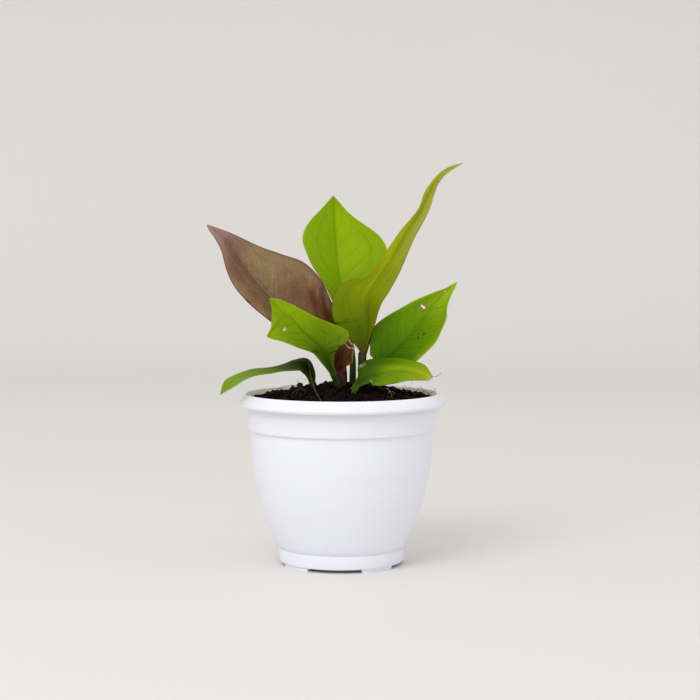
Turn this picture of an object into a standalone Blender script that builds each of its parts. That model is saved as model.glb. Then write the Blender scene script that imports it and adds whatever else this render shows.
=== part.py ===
"""Young potted foliage plant: a white plastic pot, its soil, a crown and the leaves that rise from it.

Metres, +Z up. The origin is on the pot's axis, on the plane that its feet stand on, and the
front of the plant faces -Y. Each leaf is a blade and a stalk, and each is an object of its own.
"""

import math

import bmesh
import bpy
import numpy as np
from mathutils import Vector, noise

MM = 0.001
FIT_GAP = 0.35 * MM
TURN_STEPS = 48
MERGE_DISTANCE = 0.05 * MM
WELD_DISTANCE = 0.01 * MM

# Pot, a 130 mm nursery pot
RIM_RADIUS = 65.0 * MM
RIM_MOUTH_RADIUS = 60.7 * MM
RIM_TOP = 108.2 * MM
# The lip slopes out from the mouth's edge to the rim and turns in again below: (inset, drop) in mm
LIP_POINTS = ((4.1, 0.0), (2.2, 2.1), (0.8, 5.0), (0.0, 7.3), (0.6, 8.9), (1.9, 9.6))
LIP_HOLLOW_TOP = RIM_TOP - 4.5 * MM
LIP_HOLLOW_RADIUS = 61.6 * MM
MOUTH_SLOPE = 1.0 * MM
MOUTH_SLOPE_DEPTH = 1.5 * MM
MOUTH_EDGE_DROP = 0.2 * MM
MOUTH_STRAIGHT_TOP = RIM_TOP - 5.0 * MM
WALL = 1.5 * MM
BAND_RADIUS = 59.2 * MM
BAND_BOTTOM = 85.5 * MM
BAND_CHAMFER = 0.5 * MM
BODY_TOP_RADIUS = 57.4 * MM
BODY_TOP = 84.0 * MM
BODY_BULGE = 2.1
BODY_STEPS = 9
FOOT_BAND_RADIUS = 40.0 * MM
FOOT_BAND_TOP = 11.5 * MM
FOOT_BAND_CHAMFER = 0.6 * MM
FOOT_TAPER = 0.4 * MM
FOOT_RADIUS = 38.4 * MM
FOOT_THICKNESS = 3.4 * MM
FOOT_HEIGHT = 2.0 * MM
FOOT_GAP_ANGLE = 54.0
FOOT_GAP_CENTRES = (263.0, 353.0, 83.0, 173.0)
FLOOR_BOTTOM = 5.0 * MM
FLOOR_THICKNESS = 1.8 * MM
DRAIN_RADIUS = 3.5 * MM
DRAIN_CIRCLE = 25.0 * MM
DRAIN_COUNT = 6
DRAIN_SIDES = 16
DRAIN_CUTTER_DEPTH = 4 * FLOOR_THICKNESS
FOOT_CUTTER_REACH = 1.2 * FOOT_RADIUS
FOOT_CUTTER_POINTS = 5

# Soil: its surface is level at the wall and heaped round the crown
SOIL_EDGE = 104.4 * MM
SOIL_FALL = 0.035
SOIL_HEAP = 9.0 * MM
SOIL_HEAP_CENTRE = Vector((0.0, 12.0 * MM))
SOIL_HEAP_SPREAD = 27.0 * MM
SOIL_LUMPS = 2.6 * MM
SOIL_LUMP_SIZE = 6.0 * MM
SOIL_RINGS = 13
SOIL_TURNS = 72

# Crown: the short stem under the soil that the stalks grow from
CROWN_CENTRE = (6.0 * MM, 1.0 * MM)
CROWN_TOP = 97.2 * MM
CROWN_PROFILE = ((0.0, 0.0), (10.0, -0.5), (11.0, -3.5), (9.0, -10.0), (4.0, -15.0), (0.0, -17.0))

HOLLOW_DEPTH = 2.4 * MM

BLADE_THICKNESS = 0.8 * MM
BLADE_ROWS = 18
BLADE_COLUMNS = 4
LEAST_REACH = 0.4
FLAT_WIDTH = 6.0
STALK_POINTS = 9
STALK_ROUNDNESS = 2

# Each blade has stations from its base to its tip: the midrib's x, y and z, then how far the
# blade reaches to the left and right of the midrib, in millimetres. "faces" says which way the
# upper side looks, from base to tip. "folds" lift both halves into a V, from base to tip, and
# "cup" curls their margins further, in degrees. A blade flattens where it is narrower than
# FLAT_WIDTH. "stalk" has the x, y, z and radius along the stalk's middle, from the crown to the
# blade.
LEAVES = {
    "bronze_leaf": {
        "stations": [
            (-1, 9, 136, 2, 2),
            (-13, 3, 144, 10, 17),
            (-29, -7, 156, 20, 28),
            (-44, -18, 170, 24.5, 29),
            (-56, -28, 185, 24, 19.5),
            (-68.5, -39, 203, 13.5, 6.5),
            (-80, -50, 213.5, 0.8, 0.8),
        ],
        "faces": [(0.38, -0.84, 0.38), (0.38, -0.84, 0.38), (0.2, -0.93, 0.25)],
        "folds": (30, 26),
        "cup": 5,
        "stalk": [(1.5, 6.5, 98, 2.0), (1.5, 7.5, 108, 2.0), (1.5, 8.5, 121, 1.9), (-0.4, 9, 134.2, 1.6)],
        "colour": (0.13, 0.075, 0.045),
        "stalk_colour": (0.13, 0.04, 0.03),
    },
    "back_leaf": {
        "stations": [
            (5, 12, 146, 2, 2),
            (2, 15, 160, 8, 12),
            (0, 19, 176, 17, 25),
            (-2, 22, 190, 28, 32),
            (-3, 24, 204, 31.5, 28),
            (-4, 25, 219, 19.5, 10.5),
            (-5, 24, 232, 0.8, 0.8),
        ],
        "faces": [(0.42, -0.9, 0.1), (0.42, -0.9, 0.1), (0.3, -0.95, 0.1)],
        "folds": (22, 22),
        "cup": 6,
        "stalk": [(7.5, 8, 98, 2.0), (7, 9, 112, 2.2), (7, 10, 128, 2.0), (5.2, 12, 144.5, 1.6)],
        "colour": (0.26, 0.42, 0.01),
        "stalk_colour": (0.08, 0.17, 0.01),
    },
    "tall_leaf": {
        "stations": [
            (13.2, 4.2, 133.6, 2.2, 2.5),
            (14.2, 3.9, 137.5, 7.5, 2.4),
            (15.5, 3.5, 142, 14.5, 2.4),
            (16.4, 2.9, 147, 19, 3.4),
            (16.3, 2, 153.5, 20.5, 7.5),
            (15.5, 1, 161, 22.3, 11.5),
            (17, 0, 169, 20.5, 13.5),
            (21.5, 0.5, 176.5, 8.5, 13.5),
            (30, 4, 189, 6.8, 12.8),
            (40, 11, 206.5, 5, 10.4),
            (50, 19, 221.5, 3, 7),
            (55, 26, 232, 3.6, 4.3),
            (60.5, 33, 241, 2.4, 2.4),
            (67.5, 42, 248, 1.7, 1.6),
            (79, 56, 253.8, 0.5, 0.5),
        ],
        "faces": [
            (-0.3, -0.9, 0.1),
            (-0.3, -0.9, 0.1),
            (-0.3, -0.9, 0.1),
            (-0.12, -0.9, 0.17),
            (0.08, -0.9, 0.28),
            (0.2, -0.9, 0.42),
            (0.2, -0.8, 0.5),
        ],
        "folds": (22, 23, 30, 39, 40, 36),
        "cup": 6,
        "stalk": [
            (12.5, 4, 98, 2.3),
            (12.5, 3.5, 110, 2.4),
            (12.8, 4, 121, 2.6),
            (13.1, 4.3, 132, 2.7),
        ],
        "colour": (0.27, 0.34, 0.015),
        "stalk_colour": (0.12, 0.07, 0.02),
    },
    "right_leaf": {
        "stations": [
            (23.5, 6, 124.5, 3, 3),
            (30.5, 5, 130.5, 17, 13),
            (38, 3, 138.5, 20.5, 21),
            (47, 0, 149, 17, 22.5),
            (53.5, -3, 158, 12.5, 20),
            (60, -7, 167, 6, 15.5),
            (65, -10.5, 172.2, 2.4, 5.7),
            (71, -14, 178, 0.5, 0.5),
        ],
        "faces": [(-0.33, -0.88, 0.33), (-0.33, -0.88, 0.33), (-0.2, -0.93, 0.2)],
        "folds": (24, 20),
        "cup": 6,
        "stalk": [(14, -2, 98, 2.0), (18.5, -0.5, 108, 2.0), (21.5, 3, 116, 1.9), (22.4, 5.7, 122.4, 1.7)],
        "colour": (0.12, 0.3, 0.006),
        "stalk_colour": (0.08, 0.17, 0.01),
    },
    "low_right_leaf": {
        "stations": [
            (8, -20.5, 111.8, 2, 1.5),
            (9.5, -18.5, 115, 4, 2.5),
            (13.5, -16.5, 118.5, 3.7, 5.2),
            (17, -15.5, 120.3, 10.3, 7.6),
            (24, -16.5, 122.1, 13.3, 10.8),
            (31.5, -19.5, 123.4, 12, 11),
            (39.5, -23.5, 123.8, 10.5, 10),
            (47, -27.5, 122.5, 9.3, 6.5),
            (55.5, -31.5, 120.3, 0.8, 0.8),
        ],
        "faces": [(-0.1, -0.7, 0.7), (-0.1, -0.65, 0.75), (0.1, -0.65, 0.75)],
        "folds": (2, 2),
        "cup": -10,
        "stalk": [
            (7, -4.5, 98, 2.0),
            (7, -6.5, 102, 2.0),
            (7, -13, 104.5, 2.0),
            (7.4, -19, 107, 1.9),
            (7.9, -20.6, 110.9, 1.7),
        ],
        "colour": (0.2, 0.38, 0.008),
        "stalk_colour": (0.1, 0.22, 0.01),
    },
    "front_left_leaf": {
        "stations": [
            (-6, -13, 122, 2.2, 1.6),
            (-8.5, -15, 126.5, 2.8, 3.2),
            (-11, -17, 130.5, 3.3, 5),
            (-12.2, -18, 132.8, 3.9, 7),
            (-13.1, -19.2, 135.2, 4.8, 11.5),
            (-14, -20.4, 137.2, 5.5, 18.3),
            (-16, -22, 139.8, 6.2, 17.2),
            (-22.5, -27, 146.5, 10, 13.3),
            (-27, -31, 152.5, 13, 10.7),
            (-31, -35, 158, 17, 8.5),
            (-34, -37, 160.7, 19, 7),
            (-36.3, -38.5, 162.8, 14, 5.7),
            (-40, -41, 166.2, 6, 4),
            (-44, -43, 169, 0.5, 0.5),
        ],
        "faces": [(-0.2, -0.9, 0.3), (-0.2, -0.9, 0.3)],
        "folds": (0, 0, 1, 6, 4, 2),
        "cup": 5,
        "stalk": [
            (0.5, -4, 98, 2.0),
            (-1.5, -6, 109, 2.1),
            (-3.3, -9, 116, 2.0),
            (-5.3, -12.2, 120.6, 1.9),
        ],
        "colour": (0.2, 0.36, 0.008),
        "stalk_colour": (0.1, 0.22, 0.01),
    },
    "low_left_leaf": {
        "stations": [
            (-18, 0, 115, 2.7, 1.6),
            (-18.5, -0.5, 118.5, 3.5, 2.8),
            (-20, -1.5, 122.3, 4.5, 4),
            (-23, -3, 126, 6, 6.3),
            (-27.5, -5, 127.3, 6.5, 4.8),
            (-33.5, -8, 126, 5.5, 5),
            (-44, -13, 124.7, 6, 6),
            (-53.5, -18, 123, 5, 6),
            (-62.5, -22, 120, 7, 6.5),
            (-69, -25, 116, 6.5, 6),
            (-74.5, -27, 109.8, 0.5, 0.5),
        ],
        "faces": [
            (0.5, -0.8, 0.2),
            (0.3, -0.8, 0.4),
            (0.1, -0.5, 0.85),
            (0, -0.25, 1),
            (-0.3, -0.4, 0.9),
            (-0.5, -0.45, 0.8),
        ],
        "folds": (0, 0, -10, -10, 0, 3),
        "cup": 2,
        "stalk": [(-17, 2, 98, 1.9), (-17, 2, 106, 1.9), (-17.8, 0.4, 113.6, 1.8)],
        "colour": (0.16, 0.33, 0.02),
        "stalk_colour": (0.02, 0.06, 0.01),
    },
    "curled_leaf": {
        "stations": [
            (-1.5, -3, 122, 5, 4),
            (-1, -3.5, 126.5, 10, 7),
            (0, -4, 131, 11, 11),
            (1, -4.5, 136, 10, 10),
            (2, -4.5, 140.5, 7, 6),
            (1.7, -4.5, 143.5, 4, 3),
        ],
        "faces": [(0.1, -1, 0), (0.15, -1, 0.1)],
        "folds": (30, 30),
        "cup": 55,
        "stalk": [(-1, 1.5, 98, 2.0), (0.5, 0, 108, 2.3), (0.3, -1.6, 114, 2.8), (-1.3, -2.8, 120.4, 2.6)],
        "colour": (0.09, 0.035, 0.018),
        "stalk_colour": (0.14, 0.03, 0.03),
    },
}


def clear_scene():
    for obj in list(bpy.data.objects):
        bpy.data.objects.remove(obj)


def make_collection(name, hidden=False):
    collection = bpy.data.collections.new(name)
    bpy.context.scene.collection.children.link(collection)
    collection.hide_render = hidden
    return collection


def make_material(name, colour, roughness):
    material = bpy.data.materials.new(name)
    material.use_nodes = True
    shader = material.node_tree.nodes["Principled BSDF"]
    shader.inputs["Base Color"].default_value = (*colour, 1.0)
    shader.inputs["Roughness"].default_value = roughness
    shader.inputs["Metallic"].default_value = 0.0
    return material


def add_object(name, mesh, collection, material=None):
    obj = bpy.data.objects.new(name, mesh)
    collection.objects.link(obj)
    if material:
        mesh.materials.append(material)
    return obj


def add_cutter(name, mesh, collection):
    cutter = add_object(name, mesh, collection)
    cutter.hide_render = True
    cutter.display_type = "WIRE"
    return cutter


def smooth_path(points, count):
    """Points evenly spread over a smooth curve through the given ones (Catmull-Rom)."""
    points = np.array(points, dtype=float)
    ends = np.vstack([2 * points[0] - points[1], points, 2 * points[-1] - points[-2]])
    result = []
    for at in np.linspace(0, len(points) - 1, count):
        first = min(int(at), len(points) - 2)
        t = at - first
        before, start, end, after = ends[first : first + 4]
        result.append(
            start
            + 0.5 * t * (end - before)
            + 0.5 * t**2 * (2 * before - 5 * start + 4 * end - after)
            + 0.5 * t**3 * (3 * start - before - 3 * end + after)
        )
    return np.array(result)


def screw_profile(name, profile, collection, material=None):
    """Turns a list of (radius, height) about the Z axis."""
    mesh = bpy.data.meshes.new(name)
    points = [(radius, 0.0, height) for radius, height in profile]
    mesh.from_pydata(points, [(i, i + 1) for i in range(len(points) - 1)], [])
    obj = add_object(name, mesh, collection, material)
    screw = obj.modifiers.new("turn", "SCREW")
    screw.steps = TURN_STEPS
    screw.render_steps = TURN_STEPS
    screw.use_merge_vertices = True
    screw.merge_threshold = MERGE_DISTANCE
    screw.use_smooth_shade = True
    return obj


def body_radius(height):
    """Outer radius of the bowl-shaped body, from the foot band up to the step."""
    rise = (height - FOOT_BAND_TOP) / (BODY_TOP - FOOT_BAND_TOP)
    return FOOT_BAND_RADIUS + (BODY_TOP_RADIUS - FOOT_BAND_RADIUS) * (1 - (1 - rise) ** BODY_BULGE)


def body_heights():
    return [FOOT_BAND_TOP + (BODY_TOP - FOOT_BAND_TOP) * (i / BODY_STEPS) for i in range(BODY_STEPS + 1)]


def inner_wall():
    """(radius, height) up the pot's inside, from the edge of its floor to the mouth."""
    floor = FLOOR_BOTTOM + FLOOR_THICKNESS
    wall = [(body_radius(FOOT_BAND_TOP) - 2 * WALL, floor)]
    wall += [(body_radius(height) - WALL, height) for height in body_heights()]
    wall += [(BAND_RADIUS - WALL, BAND_BOTTOM + WALL), (BAND_RADIUS - WALL, MOUTH_STRAIGHT_TOP)]
    return wall


def lip_profile():
    """(radius, height) over the rim: from the mouth, round the lip and down to its hollow."""
    mouth = [
        (RIM_MOUTH_RADIUS - MOUTH_SLOPE, RIM_TOP - MOUTH_SLOPE_DEPTH),
        (RIM_MOUTH_RADIUS, RIM_TOP - MOUTH_EDGE_DROP),
    ]
    lip = [(RIM_RADIUS - inset * MM, RIM_TOP - drop * MM) for inset, drop in LIP_POINTS]
    hollow = [
        (LIP_HOLLOW_RADIUS, lip[-1][1]),
        (LIP_HOLLOW_RADIUS, LIP_HOLLOW_TOP),
        (BAND_RADIUS, LIP_HOLLOW_TOP),
    ]
    return mouth + lip + hollow


def pot_profile():
    """The whole section of the pot, up its inside and down its outside."""
    profile = [(0.0, FLOOR_BOTTOM + FLOOR_THICKNESS)]
    profile += inner_wall()
    profile += lip_profile()
    profile += [(BAND_RADIUS, BAND_BOTTOM + BAND_CHAMFER), (BAND_RADIUS - BAND_CHAMFER, BAND_BOTTOM)]
    profile += [(body_radius(height), height) for height in reversed(body_heights())]
    profile += [
        (FOOT_BAND_RADIUS - FOOT_BAND_CHAMFER, FOOT_BAND_TOP - FOOT_BAND_CHAMFER),
        (FOOT_RADIUS + FOOT_TAPER, FOOT_HEIGHT),
        (FOOT_RADIUS, 0.0),
        (FOOT_RADIUS - FOOT_THICKNESS, 0.0),
        (FOOT_RADIUS - FOOT_THICKNESS, FLOOR_BOTTOM),
        (0.0, FLOOR_BOTTOM),
    ]
    return profile


def wedge_mesh(name, centre, width, radius, bottom, top):
    """A pie slice round the Z axis, to cut the gap between two feet."""
    shape = bmesh.new()
    angles = np.radians(np.linspace(centre - width / 2, centre + width / 2, FOOT_CUTTER_POINTS))
    rim = [(radius * math.cos(angle), radius * math.sin(angle)) for angle in angles]
    rings = []
    for height in (bottom, top):
        rings.append([shape.verts.new((x, y, height)) for x, y in [(0.0, 0.0)] + rim])
    shape.faces.new(reversed(rings[0]))
    shape.faces.new(rings[1])
    for i in range(len(rings[0])):
        j = (i + 1) % len(rings[0])
        shape.faces.new((rings[0][i], rings[0][j], rings[1][j], rings[1][i]))
    mesh = bpy.data.meshes.new(name)
    shape.to_mesh(mesh)
    shape.free()
    return mesh


def drain_mesh(name, place):
    shape = bmesh.new()
    bmesh.ops.create_cone(
        shape,
        cap_ends=True,
        segments=DRAIN_SIDES,
        radius1=DRAIN_RADIUS,
        radius2=DRAIN_RADIUS,
        depth=DRAIN_CUTTER_DEPTH,
    )
    bmesh.ops.translate(shape, verts=shape.verts, vec=place)
    mesh = bpy.data.meshes.new(name)
    shape.to_mesh(mesh)
    shape.free()
    return mesh


def cut_away(obj, cutters):
    """Cuts each cutter of a collection from the object."""
    for cutter in cutters.objects:
        boolean = obj.modifiers.new(cutter.name, "BOOLEAN")
        boolean.operation = "DIFFERENCE"
        boolean.object = cutter
        boolean.solver = "EXACT"


def make_pot(parts, cutters):
    material = make_material("pot_plastic", (0.86, 0.87, 0.9), 0.35)
    pot = screw_profile("pot", pot_profile(), parts, material)
    for number, centre in enumerate(FOOT_GAP_CENTRES, 1):
        name = f"foot_gap_{number}"
        mesh = wedge_mesh(name, centre, FOOT_GAP_ANGLE, FOOT_CUTTER_REACH, -FOOT_HEIGHT, FOOT_HEIGHT)
        add_cutter(name, mesh, cutters)
    for number in range(DRAIN_COUNT):
        angle = math.radians(360 * number / DRAIN_COUNT)
        middle = FLOOR_BOTTOM + FLOOR_THICKNESS / 2
        place = (DRAIN_CIRCLE * math.cos(angle), DRAIN_CIRCLE * math.sin(angle), middle)
        name = f"drain_{number + 1}"
        add_cutter(name, drain_mesh(name, place), cutters)
    cut_away(pot, cutters)


def soil_height(x, y):
    """Height of the soil's surface: it falls a little to the back, with a soft heap and lumps."""
    away = (Vector((x, y)) - SOIL_HEAP_CENTRE).length / SOIL_HEAP_SPREAD
    lumps = noise.noise(Vector((x, y, 0.0)) / SOIL_LUMP_SIZE)
    return SOIL_EDGE - SOIL_FALL * y + SOIL_HEAP * math.exp(-0.5 * away**2) + SOIL_LUMPS * lumps


def soil_sides():
    """(radius, height) from the floor up to the soil's edge, a gap inside the pot's wall."""
    floor = FLOOR_BOTTOM + FLOOR_THICKNESS + FIT_GAP
    wall = [(radius - FIT_GAP, height) for radius, height in inner_wall()]
    return [(wall[0][0], floor)] + wall[1:-2:3] + [wall[-2]]


def make_soil(parts, cutters):
    sides = soil_sides()
    edge = sides[-1][0]
    shape = bmesh.new()
    turns = [2 * math.pi * i / SOIL_TURNS for i in range(SOIL_TURNS)]
    rings = [[shape.verts.new((r * math.cos(a), r * math.sin(a), z)) for a in turns] for r, z in sides]
    for ring in range(SOIL_RINGS):
        radius = edge * (1 - ring / SOIL_RINGS)
        places = [(radius * math.cos(a), radius * math.sin(a)) for a in turns]
        rings.append([shape.verts.new((x, y, soil_height(x, y))) for x, y in places])
    for lower, upper in zip(rings, rings[1:]):
        for i in range(SOIL_TURNS):
            j = (i + 1) % SOIL_TURNS
            shape.faces.new((lower[i], lower[j], upper[j], upper[i]))
    shape.faces.new(reversed(rings[0]))
    top = shape.verts.new((0.0, 0.0, soil_height(0.0, 0.0)))
    for i in range(SOIL_TURNS):
        shape.faces.new((rings[-1][i], rings[-1][(i + 1) % SOIL_TURNS], top))
    mesh = bpy.data.meshes.new("soil")
    shape.to_mesh(mesh)
    shape.free()
    soil = add_object("soil", mesh, parts, make_material("potting_soil", (0.03, 0.017, 0.012), 0.95))
    cut_away(soil, cutters)


def crown_profile(grow=0.0):
    """The crown's section, swollen all round by grow for the hollow that it fills."""
    middle = CROWN_PROFILE[-1][1] / 2
    profile = []
    for radius, drop in CROWN_PROFILE:
        swell = grow if radius else 0.0
        rise = grow if drop > middle else -grow
        profile.append((radius * MM + swell, CROWN_TOP + drop * MM + rise))
    return profile


def make_crown(parts, cutters):
    material = make_material("crown_stem", (0.12, 0.1, 0.04), 0.7)
    crown = screw_profile("crown", crown_profile(), parts, material)
    hollow = screw_profile("crown_hollow", crown_profile(FIT_GAP), cutters)
    hollow.hide_render = True
    hollow.display_type = "WIRE"
    for obj in (crown, hollow):
        obj.location = (*CROWN_CENTRE, 0.0)


def stalk_mesh(name, path, grow=0.0, deeper=0.0):
    """A closed tapering tube along the path. The hollow for it is swollen by grow, and deeper."""
    curve = bpy.data.curves.new(name, "CURVE")
    curve.dimensions = "3D"
    curve.bevel_depth = MM
    curve.bevel_resolution = STALK_ROUNDNESS
    curve.use_fill_caps = True
    points = smooth_path(path, STALK_POINTS)
    if deeper:
        points = np.vstack([points[0] - (0.0, 0.0, deeper / MM, 0.0), points])
    spline = curve.splines.new("POLY")
    spline.points.add(len(points) - 1)
    for point, (x, y, z, radius) in zip(spline.points, points):
        point.co = (x * MM, y * MM, z * MM, 1.0)
        point.radius = radius + grow / MM
    holder = bpy.data.objects.new(name + "_curve", curve)
    bpy.context.scene.collection.objects.link(holder)
    graph = bpy.context.evaluated_depsgraph_get()
    mesh = bpy.data.meshes.new_from_object(holder.evaluated_get(graph))
    bpy.data.objects.remove(holder)
    shape = bmesh.new()
    shape.from_mesh(mesh)
    bmesh.ops.remove_doubles(shape, verts=shape.verts, dist=WELD_DISTANCE)
    bmesh.ops.recalc_face_normals(shape, faces=shape.faces)
    shape.to_mesh(mesh)
    shape.free()
    mesh.name = name
    mesh.shade_smooth()
    return mesh


def half_blade(start, outward, face, reach, fold, cup, columns):
    """Points from the midrib out to one margin, turning from outward towards face as they go."""
    points = []
    place = np.array(start, dtype=float)
    step = reach / columns
    for column in range(columns):
        angle = math.radians(fold + cup * (column + 0.5) / columns)
        place = place + step * (math.cos(angle) * outward + math.sin(angle) * face)
        points.append(place)
    return points


def blade_rows(leaf, rows, columns):
    """A grid of points over the blade: one row across it at each step from base to tip."""
    stations = smooth_path(leaf["stations"], rows)
    faces = smooth_path(leaf["faces"], rows)
    middles = stations[:, :3]
    along = np.gradient(middles, axis=0)
    reaches = np.maximum(stations[:, 3:], LEAST_REACH)
    folds = smooth_path([(fold,) for fold in leaf["folds"]], rows)[:, 0]
    folds = folds * np.minimum(reaches.sum(axis=1) / FLAT_WIDTH, 1.0)
    grid = []
    for middle, direction, face, fold, (left, right) in zip(middles, along, faces, folds, reaches):
        direction = direction / np.linalg.norm(direction)
        face = face - direction * np.dot(face, direction)
        face = face / np.linalg.norm(face)
        rightward = np.cross(direction, face)
        left_side = half_blade(middle, -rightward, face, left, fold, leaf["cup"], columns)
        right_side = half_blade(middle, rightward, face, right, fold, leaf["cup"], columns)
        grid.append(left_side[::-1] + [middle] + right_side)
    return np.array(grid) * MM


def make_blade(name, leaf, parts, material):
    """An open sheet lofted over the blade's rows, thickened to both sides."""
    grid = blade_rows(leaf, BLADE_ROWS, BLADE_COLUMNS)
    shape = bmesh.new()
    rows = [[shape.verts.new(point) for point in row] for row in grid]
    for lower, upper in zip(rows, rows[1:]):
        for i in range(len(lower) - 1):
            shape.faces.new((lower[i], lower[i + 1], upper[i + 1], upper[i]))
    mesh = bpy.data.meshes.new(name)
    shape.to_mesh(mesh)
    shape.free()
    mesh.shade_smooth()
    blade = add_object(name, mesh, parts, material)
    solidify = blade.modifiers.new("thickness", "SOLIDIFY")
    solidify.thickness = BLADE_THICKNESS
    solidify.offset = 0.0


def make_leaf(name, leaf, parts, soil_cutters):
    """A leaf's blade and stalk, and the hollow in the soil that the stalk stands in."""
    blade = name + "_blade"
    make_blade(blade, leaf, parts, make_material(blade, leaf["colour"], 0.4))
    stalk = name + "_stalk"
    material = make_material(stalk, leaf["stalk_colour"], 0.5)
    add_object(stalk, stalk_mesh(stalk, leaf["stalk"]), parts, material)
    hollow = name + "_hollow"
    add_cutter(hollow, stalk_mesh(hollow, leaf["stalk"], FIT_GAP, HOLLOW_DEPTH), soil_cutters)


def main():
    clear_scene()
    parts = make_collection("potted_anthurium")
    pot_cutters = make_collection("pot_cutters", hidden=True)
    soil_cutters = make_collection("soil_cutters", hidden=True)
    make_pot(parts, pot_cutters)
    make_crown(parts, soil_cutters)
    for name, leaf in LEAVES.items():
        make_leaf(name, leaf, parts, soil_cutters)
    make_soil(parts, soil_cutters)


main()
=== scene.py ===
"""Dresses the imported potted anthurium: pot, soil, stalks and leaves get their fine shapes and finishes.

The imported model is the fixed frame, in metres, +Z up, and the front of the plant faces -Y. The
leaves' own shapes are in millimetres, and each is seated on its node's box.
"""

import math

import bmesh
import bpy
import numpy as np
from bpy.props import FloatProperty, FloatVectorProperty, IntProperty, PointerProperty
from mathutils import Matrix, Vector, noise


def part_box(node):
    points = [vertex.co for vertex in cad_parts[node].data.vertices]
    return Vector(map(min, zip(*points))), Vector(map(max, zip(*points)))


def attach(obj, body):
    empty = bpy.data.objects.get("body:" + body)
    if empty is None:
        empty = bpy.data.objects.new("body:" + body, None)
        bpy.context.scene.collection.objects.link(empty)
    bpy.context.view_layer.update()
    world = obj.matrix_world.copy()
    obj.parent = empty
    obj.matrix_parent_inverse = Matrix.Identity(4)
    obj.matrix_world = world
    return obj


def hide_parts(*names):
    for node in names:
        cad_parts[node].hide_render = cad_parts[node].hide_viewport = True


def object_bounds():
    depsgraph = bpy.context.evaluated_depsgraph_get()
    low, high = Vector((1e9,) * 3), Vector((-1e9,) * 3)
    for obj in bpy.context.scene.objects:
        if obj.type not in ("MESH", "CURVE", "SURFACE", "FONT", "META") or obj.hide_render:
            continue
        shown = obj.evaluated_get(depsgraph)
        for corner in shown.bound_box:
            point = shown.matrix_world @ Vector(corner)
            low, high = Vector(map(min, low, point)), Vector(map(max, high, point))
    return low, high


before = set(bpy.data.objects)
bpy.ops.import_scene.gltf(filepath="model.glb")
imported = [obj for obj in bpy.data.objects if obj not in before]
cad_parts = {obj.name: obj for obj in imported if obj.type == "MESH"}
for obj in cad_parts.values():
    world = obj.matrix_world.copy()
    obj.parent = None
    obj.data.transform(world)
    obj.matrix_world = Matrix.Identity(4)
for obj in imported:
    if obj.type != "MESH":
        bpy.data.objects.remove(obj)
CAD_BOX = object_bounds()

bl_info = {
    "name": "Potted Anthurium",
    "version": (1, 0, 0),
    "blender": (4, 5, 0),
    "location": "3D View > Sidebar > Plant",
    "description": "Builds a young potted foliage plant on its packed frame",
    "category": "Add Mesh",
}

MM = 0.001
BODY = "root"
_, POT_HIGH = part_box("pot")
SOIL_LOW, SOIL_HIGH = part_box("soil")
NODE_STEP = 180
MIX_COLOUR_SOCKETS = (0, 6, 7)
MIX_COLOUR_OUTPUT = 2

# How densely the sheets and tubes are drawn
BLADE_ROWS = 170
BLADE_COLUMNS = 84
STALK_POINTS = 26
RUN_POINTS = 34
STROKE_POINTS = 40
FIBRE_POINTS = 30
HAIR_POINTS = 16
TUBE_ROUNDNESS = 5

# The blades' relief, in millimetres or as shares of a blade's length and reach
LEAST_REACH = 0.15
FLAT_WIDTH = 6.0
VEIN_CURVE = 1.25
QUILT_SOFTNESS = 0.02
QUILT_BOW = 0.8
GROOVE_DEPTH = 0.35
GROOVE_WIDTH = 1.1
WAVE_RISE = 2.5
WAVE_SHIFT = 0.2
BASE_FADE, TIP_FADE = 8, 6
TEAR_PITCH = 7.0
TEAR_LIMIT = 1.4

# The midrib's tube under the blade: where it starts and ends as shares of the blade's length, its
# radius as a share of the stalk's and how that tapers, and its least radius and its depth
RUN_START = 0.03
RUN_END = 0.86
RUN_SHARE = 0.8
RUN_TAPER = 1.3
RUN_LEAST_RADIUS = 0.22
RUN_DEPTH = 0.6

# The blades' painted lines, as shares of a blade's reach and of the space between two side veins,
# and the fine cells between them
VEIN_WIDTH = 0.07
VEIN_WANDER = 0.03
VEIN_FADE = (0.6, 0.8)
MIDRIB_WIDTH = 0.05
MARGIN_START = 0.93
LOOP_SIDE = 0.7
LOOP_WIDTH = 0.035
LOOP_STRENGTH = 0.7
CELL_SCALE = 420.0
CELL_WALL = 0.12
UNDERSIDE_ROUGHNESS = 0.15

# A mark's uneven outline as (depth, lobes, turn), and the soft rings it leaves: which colour, how
# far out it ends and how fast it fades in the mark's own radius, and how strong it is
MARK_LOBES = ((0.18, 3, 9), (0.1, 5, 7))
SCORCH_RING, CREAM_RING, DARK_RING = 0, 1, 2
MARK_RINGS = {
    "hole": [(SCORCH_RING, 2.0, 1.0, 1.0)],
    "cream": [(SCORCH_RING, 1.9, 1.0, 1.0), (CREAM_RING, 2.2, 1.6, 1.0)],
    "dark": [(DARK_RING, 1.6, 1.0, 0.8)],
}
CREAM = (0.72, 0.6, 0.4)
DARK = (0.03, 0.025, 0.008)
# How widely a leaf's two halves blend, and how fast a wash fades
HALF_BLEND = 0.12
WASH_SOFTNESS = 0.7

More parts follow.
